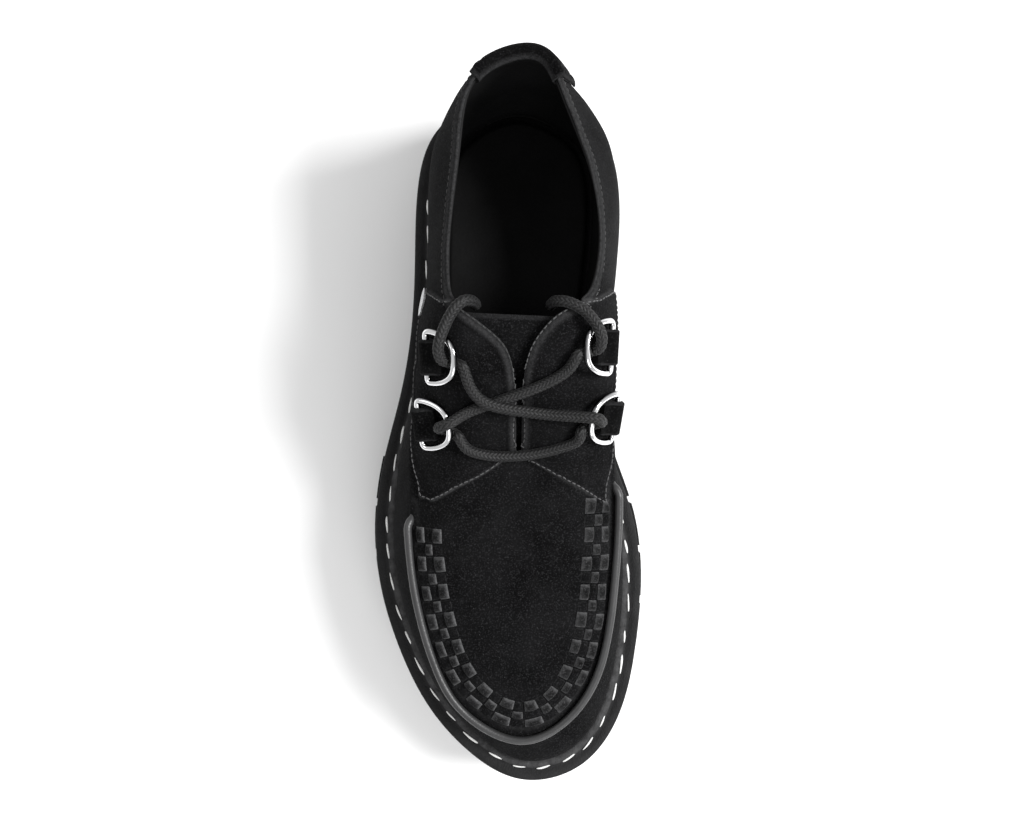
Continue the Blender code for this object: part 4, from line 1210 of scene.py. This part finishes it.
def join_blocks(name, blocks, finish):
    """One piece from the points and faces of many blocks."""
    points, faces = [], []
    for block_points, block_faces in blocks:
        faces += [[k + len(points) for k in face] for face in block_faces]
        points += block_points.tolist()
    obj = build(name, points, faces, finish)
    face_outwards(obj, sharp=38)
    return obj


def side_lug(start, end):
    """The plan of one tread bar, pinched half way in."""
    middle, reach = 0.48 * LUG_LENGTH, 0.15 * LUG_LENGTH
    left, right = start + LUG_GAP / 2, end - LUG_GAP / 2
    depths = (0, 0.2 * LUG_LENGTH, middle - reach, middle, middle + reach, 0.85 * LUG_LENGTH, LUG_LENGTH)
    pinch = (0, 0, 0, LUG_NOTCH, 0, 0, 0)
    one = [edge_point(left + p, d) for d, p in zip(depths, pinch)]
    other = [edge_point(right - p, d) for d, p in zip(depths, pinch)]
    outer = [edge_point(left + (right - left) * s, 0) for s in (0.2, 0.4, 0.6, 0.8)]
    inner = [one[-1] + (other[-1] - one[-1]) * s for s in (0.75, 0.5, 0.25)]
    return [*reversed(one), *outer, *other, *inner]


def cross_lug(t, side, degrees):
    """The plan of one cross of the tread, an arm at a time."""
    centre = np.array([side * HALF_WIDTH, (t - 0.5) * SOLE_LENGTH])
    flank = [(0.16, 0.16), (0.34, 0.20), (0.50, 0.30), (0.52, 0.10)]
    arm = [*((reach, -aside) for reach, aside in flank), (0.46, 0.0), *flank[:0:-1]]
    loop = []
    for quarter in range(4):
        a = math.radians(degrees + 90 * quarter)
        turn = np.array([[math.cos(a), -math.sin(a)], [math.sin(a), math.cos(a)]])
        loop += [centre + turn @ (np.array(p) * CROSS_SIZE) for p in arm]
    return loop


def spine_beside(place, share):
    """Points on the sole's middle line level with places on its edge, short of the toe and heel."""
    level = edge_point(place, 0)[:, 1] * share
    return np.column_stack([np.full(len(place), EDGE[:, 0].mean()), level])


def drawn_in(ring, spine, shares, height):
    """Rings drawn in from one towards a middle line, by shares of the way, each at its points' height."""
    rings = []
    for s in shares:
        xy = ring[:, :2] * (1 - s) + spine * s
        rings.append(np.column_stack([xy, height(xy)]))
    return rings


def add_outsole():
    """The sole's body, with soft rims and its waist plate."""
    place = edge_places(360)
    # Each row: how far inwards, what its height counts from, and that height in metres or as a share
    body = [
        (0.0016, "low", 0.0),
        (0.0006, "low", 0.0004),
        (0.0, "low", 0.0014),
        (0.0, "share", 0.25),
        (0.00025, "share", 0.50),
        (0.0, "share", 0.75),
        (0.0, "top", -0.0010),
        (0.0004, "top", -0.0003),
        (0.0012, "top", 0.0),
    ]
    rings = []
    for inset, kind, height in body:
        xy = edge_point(place, WELT_SETBACK + inset)
        low, top = sole_underside(xy[:, 1]), sole_top(xy[:, 1])
        z = {"low": low + height, "top": top + height, "share": low + (top - low) * height}[kind]
        rings.append(np.column_stack([xy, z]))
    spine, shares = spine_beside(place, 0.94), np.linspace(0, 1, 26)[1:]
    above = drawn_in(rings[-1], spine, shares, lambda xy: sole_top(xy[:, 1]))
    below = drawn_in(rings[0], spine, shares, recessed_underside)
    points = np.stack([*reversed(below), *rings, *above], axis=1)
    faces = grid_faces(len(place), points.shape[1], wrap_rows=True)
    sole = build("outsole_body", points.reshape(-1, 3), faces, RUBBER)
    face_outwards(sole, merge=2e-6, sliver=1e-6, sharp=50)
    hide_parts("outsole")


def recessed_underside(xy):
    """The underside, sunk a little in the bare plate's frame."""
    z = sole_underside(xy[:, 1])
    centre = (SCREW_ALONG - 0.5) * SOLE_LENGTH
    gap = np.maximum(np.abs(xy[:, 0]) - PLATE_LENGTH / 2, np.abs(xy[:, 1] - centre) - PLATE_WIDTH / 2)
    return z + PLATE_SINK * (1 - smoothstep((gap + 0.0006) / 0.0012))


def lug_row(first, last, count):
    """The plans of a row of tread bars between two places on the edge."""
    pitch = (last - first) / count
    return [side_lug(first + k * pitch, first + (k + 1) * pitch) for k in range(count)]


def add_tread():
    """The tread's side bars and its crosses, with soft rims."""
    forefoot = lug_row(edge_place(TREAD_END, -1), edge_place(TREAD_END, 1) + EDGE_LENGTH, FOREFOOT_LUGS)
    heel = lug_row(edge_place(HEEL_BREAST + 0.01, 1), edge_place(HEEL_BREAST + 0.01, -1), HEEL_LUGS)
    crosses = [cross_lug(*row) for row in CROSS_LUGS]
    blocks = [
        block(plan, toe_lift, lambda y: toe_lift(y) + LUG_CLIMB, rounding)
        for plans, rounding in ((forefoot + heel, 0.0008), (crosses, 0.0006))
        for plan in plans
    ]
    tread = join_blocks("outsole_tread", blocks, RUBBER)


def add_screws():
    """Pan heads with a cross recess."""
    y = (SCREW_ALONG - 0.5) * SOLE_LENGTH
    top = float(sole_underside(np.array(y)) + PLATE_SINK - FIT)
    rings, sides = 26, 96
    r = (np.linspace(0, 1, rings)[1:] * SCREW_RADIUS)[:, None]
    ahead, aside = np.abs(r * np.cos(turns(sides))), np.abs(r * np.sin(turns(sides)))
    one = np.maximum(ahead / RECESS_ARM, aside / RECESS_WIDTH)
    other = np.maximum(ahead / RECESS_WIDTH, aside / RECESS_ARM)
    cross = 1 - smoothstep((np.minimum(one, other) / SCREW_RADIUS - 0.95) / 0.25)
    height = SCREW_HEAD * (1 - 0.55 * (r / SCREW_RADIUS) ** 3) - SCREW_RECESS * cross
    faces = grid_faces(rings, sides, wrap_columns=True).tolist()
    faces += fan(rings * sides, 0, sides, flip=True) + fan(rings * sides + 1, (rings - 1) * sides, sides)
    for number, x in enumerate((-SCREW_SPREAD, SCREW_SPREAD), start=1):
        angle = turns(sides) + 0.3 * number
        px, py = x + r * np.cos(angle), y + r * np.sin(angle)
        face = np.stack([px, py, top - height], axis=2).reshape(-1, 3)
        rim = np.column_stack([px[-1], py[-1], np.full(sides, top)])
        hubs = [(x, y, top - SCREW_HEAD + SCREW_RECESS), (x, y, top)]
        screw = build(f"screw_head_{number}", np.vstack([face, rim, hubs]), faces, STEEL)
        face_outwards(screw)
        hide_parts(f"sole_screw_{number}")


# Piping, weave, strap, tongue and insole


def add_piping():
    """The cord in the apron's gutter, its tips tucked into the skin."""
    us = np.linspace(PIPING_SPAN[0], PIPING_SPAN[1], 400)
    side, top = surface_normal(us, 0.97), surface_normal(us, 1.03)
    to_tip = np.minimum(us - PIPING_SPAN[0], PIPING_SPAN[1] - us)
    lift = (PIPING_RADIUS + FIT) * (-0.4 + 1.4 * smoothstep(to_tip / TIP_LIFT_SPAN))
    path = resample(surface(us, np.ones(400)) + unit(side + top) * lift[:, None], step=0.0009)
    k = np.arange(len(path))
    wobble = 1 + 0.03 * np.sin(k * 0.21) * np.sin(k * 0.057)
    taper = np.minimum(1, 0.35 + np.minimum(k, k[::-1]) / 5)
    piping = tube("piping_cord", path, (PIPING_RADIUS * wobble * taper)[:, None], PIPING, sides=20)
    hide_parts("apron_piping")


def level_at(u, reach):
    """The height share at a distance from the ridge, measured up each rib."""
    vs = np.linspace(1, 2, 120)
    out = []
    for one in u:
        line = surface(np.full(120, one), vs)
        along = np.concatenate([[0], np.cumsum(np.linalg.norm(np.diff(line, axis=0), axis=1))])
        out.append(np.interp(reach, along, vs))
    return np.array(out)


def pillow(corners, normal, rise, sink, grid=11):
    """A patch over four corners, domed along its length and flat across, its rim sunk into the skin."""
    s = 0.5 - 0.5 * np.cos(np.linspace(0, math.pi, grid))
    a, b = np.meshgrid(s, s, indexing="ij")
    base = (
        corners[0] * ((1 - a) * (1 - b))[..., None] + corners[1] * (a * (1 - b))[..., None]
        + corners[2] * (a * b)[..., None] + corners[3] * ((1 - a) * b)[..., None]
    )
    along, across = 1 - np.abs(2 * a - 1) ** 2.6, 1 - np.abs(2 * b - 1) ** 3.2
    dome = along ** 0.5 * across ** 0.5
    return base + normal * ((rise + sink) * dome - sink)[..., None]


def add_weave():
    """Three thongs woven through slits round the apron: two show over one bar, one over the next."""
    us = np.linspace(0.336, 0.664, 700)
    middle = resample(surface(us, level_at(us, WEAVE_INSET)), step=0.0005)
    middle, normals = rest_on_skin(middle)
    tangent = unit(averaged(unit(np.gradient(middle, axis=0)), np.ones(9) / 9))
    inward = unit(np.cross(tangent, normals))
    if inward[len(inward) // 2, 1] < 0:
        inward = -inward
    rows = 2 * WEAVE_UNITS - 1
    weights = np.array([WEAVE_LONG if k % 2 == 0 else WEAVE_SHORT for k in range(rows)])
    stops = np.concatenate([[0], np.cumsum(weights)]) / weights.sum() * (len(middle) - 1)
    patches = {"weave_thongs": [], "weave_straps": []}
    for k in range(rows):
        for column, (near, far) in enumerate(WEAVE_COLUMNS):
            light = (column != 1) == (k % 2 == 0)
            slack = 0.35 * math.sin(2.3 * k + column) if light else 0
            a, b = stops[k] + 0.5 + slack, stops[k + 1] - 0.5 + slack
            spots = []
            for turn, (at, reach) in enumerate(((a, near), (b, near), (b, far), (a, far))):
                i = int(np.clip(round(at), 0, len(middle) - 1))
                sway = 0.00022 * math.sin(1.7 * k + column + turn)
                spots.append(middle[i] + inward[i] * (reach + sway))
            on, facing = rest_on_skin(np.array(spots))
            rise = THONG_RISE + 0.0003 * math.sin(3.1 * k + column) if light else FLAT_THONG_RISE
            patch = pillow(on, unit(facing.mean(axis=0)), rise, 0.0003)
            patches["weave_thongs" if light else "weave_straps"].append(patch)
    for name, finish, rim_power in (("weave_thongs", THONG, 5), ("weave_straps", SUEDE, 14)):
        group = patches[name]
        grid = group[0].shape[0]
        faces = np.vstack([grid_faces(grid, grid, start=k * grid * grid) for k in range(len(group))])
        obj = build(name, np.vstack([p.reshape(-1, 3) for p in group]), faces, finish)
        side = np.sin(np.abs(np.linspace(-1, 1, grid)) * math.pi / 2)
        rim = np.maximum(side[:, None], side[None, :]) ** rim_power
        add_attribute(obj, "rubbed", np.tile(rim.ravel(), len(group)))
        thick = obj.modifiers.new("leather", "SOLIDIFY")
        thick.thickness = THONG_LEATHER
        thick.offset = -1


def add_back_strap():
    """The folded strap over the collar at the heel, its edges turned, with a groove inside each."""
    shares = np.linspace(0, 1, 60)
    drop = np.linspace(2 - 4 / 6, 2.0, 40)
    near, far = FIT, FIT + STRAP_THICKNESS
    rows = []
    for share in shares:
        u = STRAP_TOP_SPAN[0] + (STRAP_TOP_SPAN[1] - STRAP_TOP_SPAN[0]) * share
        low_u = STRAP_LOW_SPAN[0] + (STRAP_LOW_SPAN[1] - STRAP_LOW_SPAN[0]) * share
        rim = 0.0012 * (1 - min(1.0, min(share, 1 - share) / 0.07)) ** 2
        uu = low_u + (u - low_u) * (drop - drop[0]) / (drop[-1] - drop[0])
        outer, normal = surface(uu, drop), surface_normal(uu, drop)
        end = np.clip((drop - drop[0]) / 0.03, 0, 1)
        groove = 0.0003 * np.exp(-((min(share, 1 - share) - 0.09) / 0.02) ** 2)
        lift = far + 0.0004 - rim - groove - 0.0006 * (1 - end) ** 2
        over = outer + normal * np.broadcast_to(lift, drop.shape)[:, None]
        under = outer + normal * near
        top, top_normal = outer[-1], normal[-1]
        inner = UPPER_WALL + FIT
        reach = (inner + STRAP_LEG + far) / 2
        middle = top - top_normal * ((inner + STRAP_LEG - far) / 2)
        wrap = [
            middle + top_normal * reach * math.cos(a) + np.array([0, 0, STRAP_CROWN]) * math.sin(a)
            for a in (math.pi * k / 8 for k in range(1, 8))
        ]
        inside_levels = np.linspace(2.0, 2 - 0.7 / 6, 8)
        inside_face = surface(np.full(8, u), inside_levels)
        inside_normal = surface_normal(u, inside_levels)
        inside = inside_face - inside_normal * (inner + STRAP_LEG)
        back = (inside_face - inside_normal * inner)[::-1]
        rows.append(np.vstack([over, wrap, inside, back, under[::-1]]))
    points = np.stack(rows, axis=0)
    count, ring = points.shape[:2]
    strap = build("heel_strap", points.reshape(-1, 3), capped_faces(count, ring), SUEDE_TAB)
    face_outwards(strap, sharp=60)
    rubbed = np.zeros((count, ring))
    rubbed[:2] = 0.4
    rubbed[-2:] = 0.4
    rubbed[:, 0] = 0.5
    rubbed[:, 45:49] = (0.4, 0.9, 0.9, 0.4)
    add_attribute(strap, "rubbed", rubbed.ravel())
    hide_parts("back_strap")


def stretched(grid, rows, columns):
    """A coarse grid of points read at more rows and columns, straight between its own."""
    for axis, count in ((1, columns), (0, rows)):
        at = np.linspace(0, grid.shape[axis] - 1, count)
        low = np.minimum(at.astype(int), grid.shape[axis] - 2)
        share = (at - low)[:, None, None] if axis == 0 else (at - low)[None, :, None]
        grid = np.take(grid, low, axis) * (1 - share) + np.take(grid, low + 1, axis) * share
    return grid


def tongue_face(rows, columns, knots=13, probes=11):
    """The face that lies against the inside of the lobes, carried on straight where they end."""
    start, stop = TONGUE_FROM * SOLE_LENGTH, TONGUE_TO * SOLE_LENGTH
    grid = []
    for share in np.linspace(0, 1, knots):
        y = start + (stop - start) * share
        half = HALF_WIDTH * (TONGUE_LOW + (TONGUE_HIGH - TONGUE_LOW) * share)
        from_below = float(sole_top(np.array(y))) + 0.35 * UPPER_HEIGHT
        found, known = [], []
        for i, side in enumerate(np.linspace(-1, 1, probes)):
            place, normal = wall_hit(TONGUE_MIDDLE * HALF_WIDTH + half * side, y, from_below, (0, 0, 1))
            if place is not None and normal.z <= -0.2:
                found.append(i)
                known.append(place + normal * 2 * FIT)
        if len(found) < 2:
            grid.append(2 * grid[-1] - grid[-2])
        else:
            known = np.array(known)
            grid.append(np.stack([np.interp(range(probes), found, known[:, k]) for k in range(3)], axis=1))
    coarse = np.array(grid)
    soft = coarse.copy()
    soft[1:-1] = 0.25 * coarse[:-2] + 0.5 * coarse[1:-1] + 0.25 * coarse[2:]
    soft[..., 2] = np.minimum(soft[..., 2], coarse[..., 2])
    return stretched(soft, rows, columns)


def add_tongue():
    """The tongue against the inside of the lobes, with a turned top edge."""
    rows, columns = 90, 61
    fine = tongue_face(rows, columns)
    s = np.linspace(-1, 1, columns)[None, :]
    t = np.linspace(0, 1, rows)[:, None]
    droop = 0.0022 * t**10 * (0.55 + 0.45 * s)
    fine = fine - unit(fine[-1:] - fine[-5:-4]) * droop[..., None]
    normal = unit(np.cross(np.gradient(fine, axis=1), np.gradient(fine, axis=0)))
    rim = np.minimum(1, np.minimum((1 - np.abs(s)) * 9, (1 - t) * 26))
    thick = TONGUE_THICKNESS * (0.45 + 0.55 * np.sqrt(np.clip(rim, 0, 1)))
    puff = 0.0002 * np.sin(t * 24 + s * 2) * (1 - np.abs(s))
    top = fine - normal * (0.0001 + np.abs(puff))[..., None]
    bottom = fine - normal * thick[..., None]
    size = rows * columns
    index = np.arange(size).reshape(rows, columns)
    loop = np.concatenate([index[0, :-1], index[:-1, -1], index[-1, :0:-1], index[:0:-1, 0]])
    after = np.roll(loop, -1)
    sides = np.stack([loop, after, after + size, loop + size], axis=1)
    faces = np.vstack([grid_faces(rows, columns)[:, ::-1], grid_faces(rows, columns, start=size), sides])
    points = np.concatenate([top.reshape(-1, 3), bottom.reshape(-1, 3)])
    tongue = build("tongue_suede", points, faces, SUEDE)
    face_outwards(tongue)
    rubbed = np.zeros((2, rows, columns))
    rubbed[:, -3:] = 0.25
    add_attribute(tongue, "rubbed", rubbed.ravel())
    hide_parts("tongue")


def add_insole():
    """The footbed: domed at its rim, with a shallow heel cup."""
    place = edge_places(300)
    rim, middle = edge_point(place, INSOLE_INSET), spine_beside(place, 0.80)

    def underside(xy):
        return sole_top(xy[:, 1]) + FIT

    def top(xy):
        depth = np.linalg.norm(xy - rim, axis=1)
        edge = 0.0009 * (1 - smoothstep(depth / 0.0016))
        cup = 0.0009 * smoothstep(depth / 0.018) * smoothstep((xy[:, 1] - 0.03) / 0.05)
        return sole_top(xy[:, 1]) + FIT + INSOLE_THICKNESS - edge - cup

    below = drawn_in(rim, middle, np.linspace(1, 0, 12), underside)
    points = np.stack([*below, *drawn_in(rim, middle, np.linspace(0, 1, 40), top)], axis=1)
    faces = grid_faces(len(place), points.shape[1], wrap_rows=True)
    insole = build("footbed", points.reshape(-1, 3), faces, FOOTBED)
    face_outwards(insole, merge=2e-6)
    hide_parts("insole")


# Rings, tabs and lace


BAR_HEIGHT = FIT + TAB_LEATHER + FIT + RING_WIRE
LACE_STANDOFF = RING_WIRE + LACE_RADIUS + 1.5 * FIT
TAB_PROBE_X = TAB_LENGTH / 8
TAB_PROBE_Y = TAB_LENGTH / 3
TAB_LIFT = 1.5 * FIT
TAB_TOP = FIT + 2 * TAB_LEATHER

# The lace's tip in an upper ring: along the bar in metres, then past the bow and above it in standoffs
LACE_TIP = [(-0.001, -1.05, -0.1), (-0.002, -0.7, -0.75), (-0.003, 0.4, -0.95)]


def ring_frames():
    """Each D-ring's bar as in the model: its middle, along the bar, up the quarter, outwards, and its dip."""
    frames = {}
    for name, (side, along, turn, dip) in RINGS.items():
        x, y = side * HALF_WIDTH, along * SOLE_LENGTH
        place, _ = dropped(x, y)
        around = ((0, 0), (TAB_PROBE_X, 0), (-TAB_PROBE_X, 0), (0, TAB_PROBE_Y), (0, -TAB_PROBE_Y))
        hits = [dropped(x + a, y + b) for a, b in around]
        normal = sum((hit[1] for hit in hits), Vector()).normalized()
        place = place + normal * TAB_LIFT
        bar = Vector((math.sin(math.radians(turn)), math.cos(math.radians(turn)), 0))
        bar = (bar - normal * bar.dot(normal)).normalized()
        climb = bar.cross(normal)
        if climb.x * side > 0:
            climb = -climb
        frames[name] = (place, bar, climb, normal, math.radians(dip))
    return frames


def ring_place(frame_of_ring, along, reach, lift):
    place, bar, climb, normal, dip = frame_of_ring
    out = climb * math.cos(dip) - normal * math.sin(dip)
    above = normal * math.cos(dip) + climb * math.sin(dip)
    return place + normal * BAR_HEIGHT + bar * along + out * reach + above * lift


def ring_outline():
    """A ring's centre line in its own plane: the bar, its round corners and the bow."""
    half, corner = RING_WIDTH / 2, 0.0016
    shape = [(s * (half - corner), 0.0) for s in np.linspace(-1, 1, 12)]
    shape += [(half - corner + corner * math.sin(a), corner - corner * math.cos(a)) for a in (0.5, 1.0)]
    for k in range(41):
        a = math.pi * k / 40
        side = math.copysign(abs(math.cos(a)) ** RING_SQUARENESS, math.cos(a))
        shape.append((half * side, corner + (RING_DEPTH - corner) * math.sin(a)))
    shape += [(-half + corner - corner * math.sin(a), corner - corner * math.cos(a)) for a in (1.0, 0.5)]
    return shape


def add_rings(frames):
    """The four D-rings of round wire, their sides and undersides darkened by painted shade."""
    steps, sides = 120, 16
    angle = turns(sides)[None, :, None]
    # Painted shade: zero along the wire's top, rising to one down its sides and underneath
    flank_shade = smoothstep((0.80 - np.sin(turns(sides))) / 0.45)
    for name, one in frames.items():
        path = [ring_place(one, along, reach, 0) for along, reach in ring_outline()]
        path = resample(path, count=steps, closed=True)
        tangent = unit(np.roll(path, -1, axis=0) - np.roll(path, 1, axis=0))
        above = np.array(ring_place(one, 0, 0, 1) - ring_place(one, 0, 0, 0))
        aside = unit(np.cross(tangent, above))
        around = aside[:, None] * np.cos(angle) + above * np.sin(angle)
        points = (path[:, None] + around * RING_WIRE).reshape(-1, 3)
        ring = build(f"ring_{name}", points, grid_faces(steps, sides, True, True), CHROME)
        face_outwards(ring)
        add_attribute(ring, "painted_flank_shade", np.tile(flank_shade, steps))
        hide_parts(f"d_ring_{name}")


def tab_outline():
    """A tab's section from its root over the bar and back under itself: reach and height."""
    outer = RING_WIRE + FIT + TAB_LEATHER
    first = math.radians(70)
    crown = (outer * math.cos(first), BAR_HEIGHT + outer * math.sin(first))
    outline = []
    for s in np.linspace(0, 1, 14, endpoint=False):
        sag = 0.0007 * math.sin(math.pi * s) ** 2
        outline.append((TAB_REACH + (crown[0] - TAB_REACH) * s, TAB_TOP + (crown[1] - TAB_TOP) * s - sag))
    for a in first + math.radians(200) * np.arange(25) / 24:
        outline.append((outer * math.cos(a), BAR_HEIGHT + outer * math.sin(a)))
    outline += [(TAB_REACH * s, FIT * 0.6) for s in np.linspace(0.1, 1, 10)]
    return outline


def add_tabs(frames):
    """Suede folded round each bar, its ends a little squeezed and its root's corners rounded."""
    centre = (0.3 * TAB_REACH, BAR_HEIGHT * 0.5)
    for name, (place, bar, climb, normal, _) in frames.items():
        rows = []
        for share in np.linspace(-1, 1, 40):
            squeeze = 0.0006 * max(0.0, (abs(share) - 0.90) / 0.10) ** 2
            corner = 0.0010 * max(0.0, (abs(share) - 0.75) / 0.25) ** 2
            row = []
            for reach, height in tab_outline():
                dx, dz = reach - centre[0], height - centre[1]
                size = math.hypot(dx, dz)
                reach, height = reach - dx / size * squeeze, height - dz / size * squeeze
                reach -= corner * (reach > 0.8 * TAB_REACH)
                row.append(tuple(place + climb * reach + normal * height + bar * (share * TAB_LENGTH / 2)))
            rows.append(row)
        points = np.array(rows)
        count, ring = points.shape[:2]
        tab = build(f"tab_{name}", points.reshape(-1, 3), capped_faces(count, ring), SUEDE_TAB)
        face_outwards(tab, sharp=65)
        rubbed = np.zeros((count, ring))
        rubbed[:3] = 0.5
        rubbed[-3:] = 0.5
        add_attribute(tab, "rubbed", rubbed.ravel())
        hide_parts(f"ring_tab_{name}")


def wrap(one, start, end):
    """The lace round a ring's bow: over the wire, down through the ring and back under it."""
    turn = [(0.9, 0.95), (-0.1, 1.05), (-0.85, 0.7), (-1.1, 0.0), (-0.85, -0.7), (-0.1, -1.0), (0.7, -0.8)]
    points = []
    for k, (reach, lift) in enumerate(turn):
        along = start + (end - start) * k / (len(turn) - 1)
        points.append(ring_place(one, along, RING_DEPTH + reach * LACE_STANDOFF, lift * LACE_STANDOFF))
    return points


def over(spots):
    """The lace's middle above the upper at each spot, clear of it by the spot's own amount."""
    return [dropped(x, y)[0] + Vector((0, 0, LACE_RADIUS + clear)) for x, y, clear in spots]


def lace_route(frames):
    """The crossings' points: from one upper ring through the two lower ones to the other."""
    start, stop = [
        [
            ring_place(frames[ring], along, RING_DEPTH + reach * LACE_STANDOFF, lift * LACE_STANDOFF)
            for along, reach, lift in LACE_TIP
        ]
        for ring in ("lateral_upper", "medial_upper")
    ]
    return [
        *start, *over(LACE_TOP_BAR), *wrap(frames["medial_lower"], 0.003, -0.005), *over(LACE_LOW_BAR),
        *reversed(wrap(frames["lateral_lower"], 0.003, -0.005)), *over(LACE_UNDER_BAR), *reversed(stop),
    ]


def eased(path, rings):
    """A lace path with its corners rounded, except close to the rings that it wraps."""
    count = 2 * int(0.0055 / BRAID_STEP) + 1
    kernel = np.hanning(count + 2)[1:-1]
    soft = averaged(path, kernel / kernel.sum())
    gap = np.min([np.linalg.norm(path - spot, axis=1) for spot in rings], axis=0)
    share = smoothstep((gap - 0.0035) / 0.0045)[:, None]
    return path + (soft - path) * share


def braid(name, route, rings=()):
    """A round braid along a route: columns of strands slanted by turns, so each pair makes chevrons."""
    path = resample(smooth_path(route, 0.0008), step=BRAID_STEP)
    if rings:
        path = eased(path, rings)
    along = np.arange(len(path))[:, None] * BRAID_STEP
    column = turns(BRAID_SIDES)[None, :] / (2 * math.pi) * BRAID_STRANDS
    number = np.floor(column)
    across = column - number - 0.5
    slant = np.where(number % 2 == 0, 1, -1)
    strand = along / BRAID_PITCH + slant * across * 1.1 + 0.25 * number
    ridge = np.sin(np.pi * (strand - np.floor(strand))) ** 0.8
    crest = ridge * (1 - 0.55 * (2 * np.abs(across)) ** 4)
    radius = LACE_RADIUS + BRAID_PROUD * (1.4 * crest - 0.4)
    obj = tube(name, path, radius, COTTON, sides=BRAID_SIDES)
    # The crest attribute carries the lace's painted shade: low between strands, high on their crests
    add_attribute(obj, "crest", np.concatenate([crest.ravel(), [0.3, 0.3]]))
    return obj, path


def add_lace(frames):
    bows = [np.array(ring_place(one, 0, RING_DEPTH, 0)) for one in frames.values()]
    crossings, _ = braid("lace_run", lace_route(frames), bows)
    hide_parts("lace_crossings")
    for name, route in LACE_ENDS.items():
        end, path = braid(name.replace("lace_end", "lace_tail"), route)
        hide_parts(name)


def dress_badge():
    """The badge keeps its own solid, in satin steel."""
    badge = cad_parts["side_badge"]
    badge.data.materials.clear()
    badge.data.materials.append(STEEL)


# Stage


def add_stage():
    """A plain pale floor just under the tread."""
    corners = [(-FLOOR_HALF, -FLOOR_HALF, 0), (FLOOR_HALF, -FLOOR_HALF, 0)]
    corners += [(FLOOR_HALF, FLOOR_HALF, 0), (-FLOOR_HALF, FLOOR_HALF, 0)]
    mesh = bpy.data.meshes.new("floor")
    mesh.from_pydata(corners, [], [(0, 1, 2, 3)])
    mesh.materials.append(Nodes("pale_floor").finish(colour=(0.86, 0.86, 0.86), roughness=0.7))
    floor = bpy.data.objects.new("floor", mesh)
    floor.location.z = -FLOOR_DROP
    bpy.context.scene.collection.objects.link(floor)


def add_light(name, place, size, power):
    """A square soft light that faces the shoe."""
    light = bpy.data.lights.new(name, "AREA")
    light.energy = power
    light.size = size
    obj = bpy.data.objects.new(name, light)
    obj.location = place
    aim = Vector((0.0, 0.0, 0.05)) - Vector(place)
    obj.rotation_euler = aim.to_track_quat("-Z", "Y").to_euler()
    bpy.context.scene.collection.objects.link(obj)


def add_studio():
    world = bpy.data.worlds.new("studio")
    world.use_nodes = True
    background = world.node_tree.nodes["Background"]
    background.inputs["Color"].default_value = (1.0, 1.0, 1.0, 1)
    background.inputs["Strength"].default_value = 0.62
    bpy.context.scene.world = world
    add_light("key", (0.80, 0.10, 0.95), 0.4, 21)
    add_light("fill", (-0.85, 0.35, 0.90), 0.9, 3)
    add_light("front", (0.25, -1.00, 0.75), 0.8, 6)
    bpy.context.scene.view_settings.view_transform = "Standard"


def add_camera():
    """Straight above the shoe at the photograph's distance, shifted to its place in the frame."""
    camera = bpy.data.cameras.new("camera")
    camera.sensor_width = 36
    camera.lens = PHOTO_FOCUS / PHOTO_WIDTH * camera.sensor_width
    camera.shift_y = (PHOTO_CENTRE[1] - PHOTO_HEIGHT / 2) / PHOTO_WIDTH
    camera.clip_start = 0.01
    obj = bpy.data.objects.new("camera", camera)
    obj.location = CAMERA_SPOT
    bpy.context.scene.collection.objects.link(obj)
    bpy.context.scene.camera = obj


add_camera()
ring_places = ring_frames()
add_lace(ring_places)
add_facing_seams()
add_throat_seams()
add_collar_seam()
add_welt()
add_welt_thread()
add_outsole()
add_tread()
add_screws()
add_piping()
add_weave()
add_back_strap()
add_tongue()
add_insole()
add_rings(ring_places)
add_tabs(ring_places)
dress_badge()
add_stage()
add_studio()
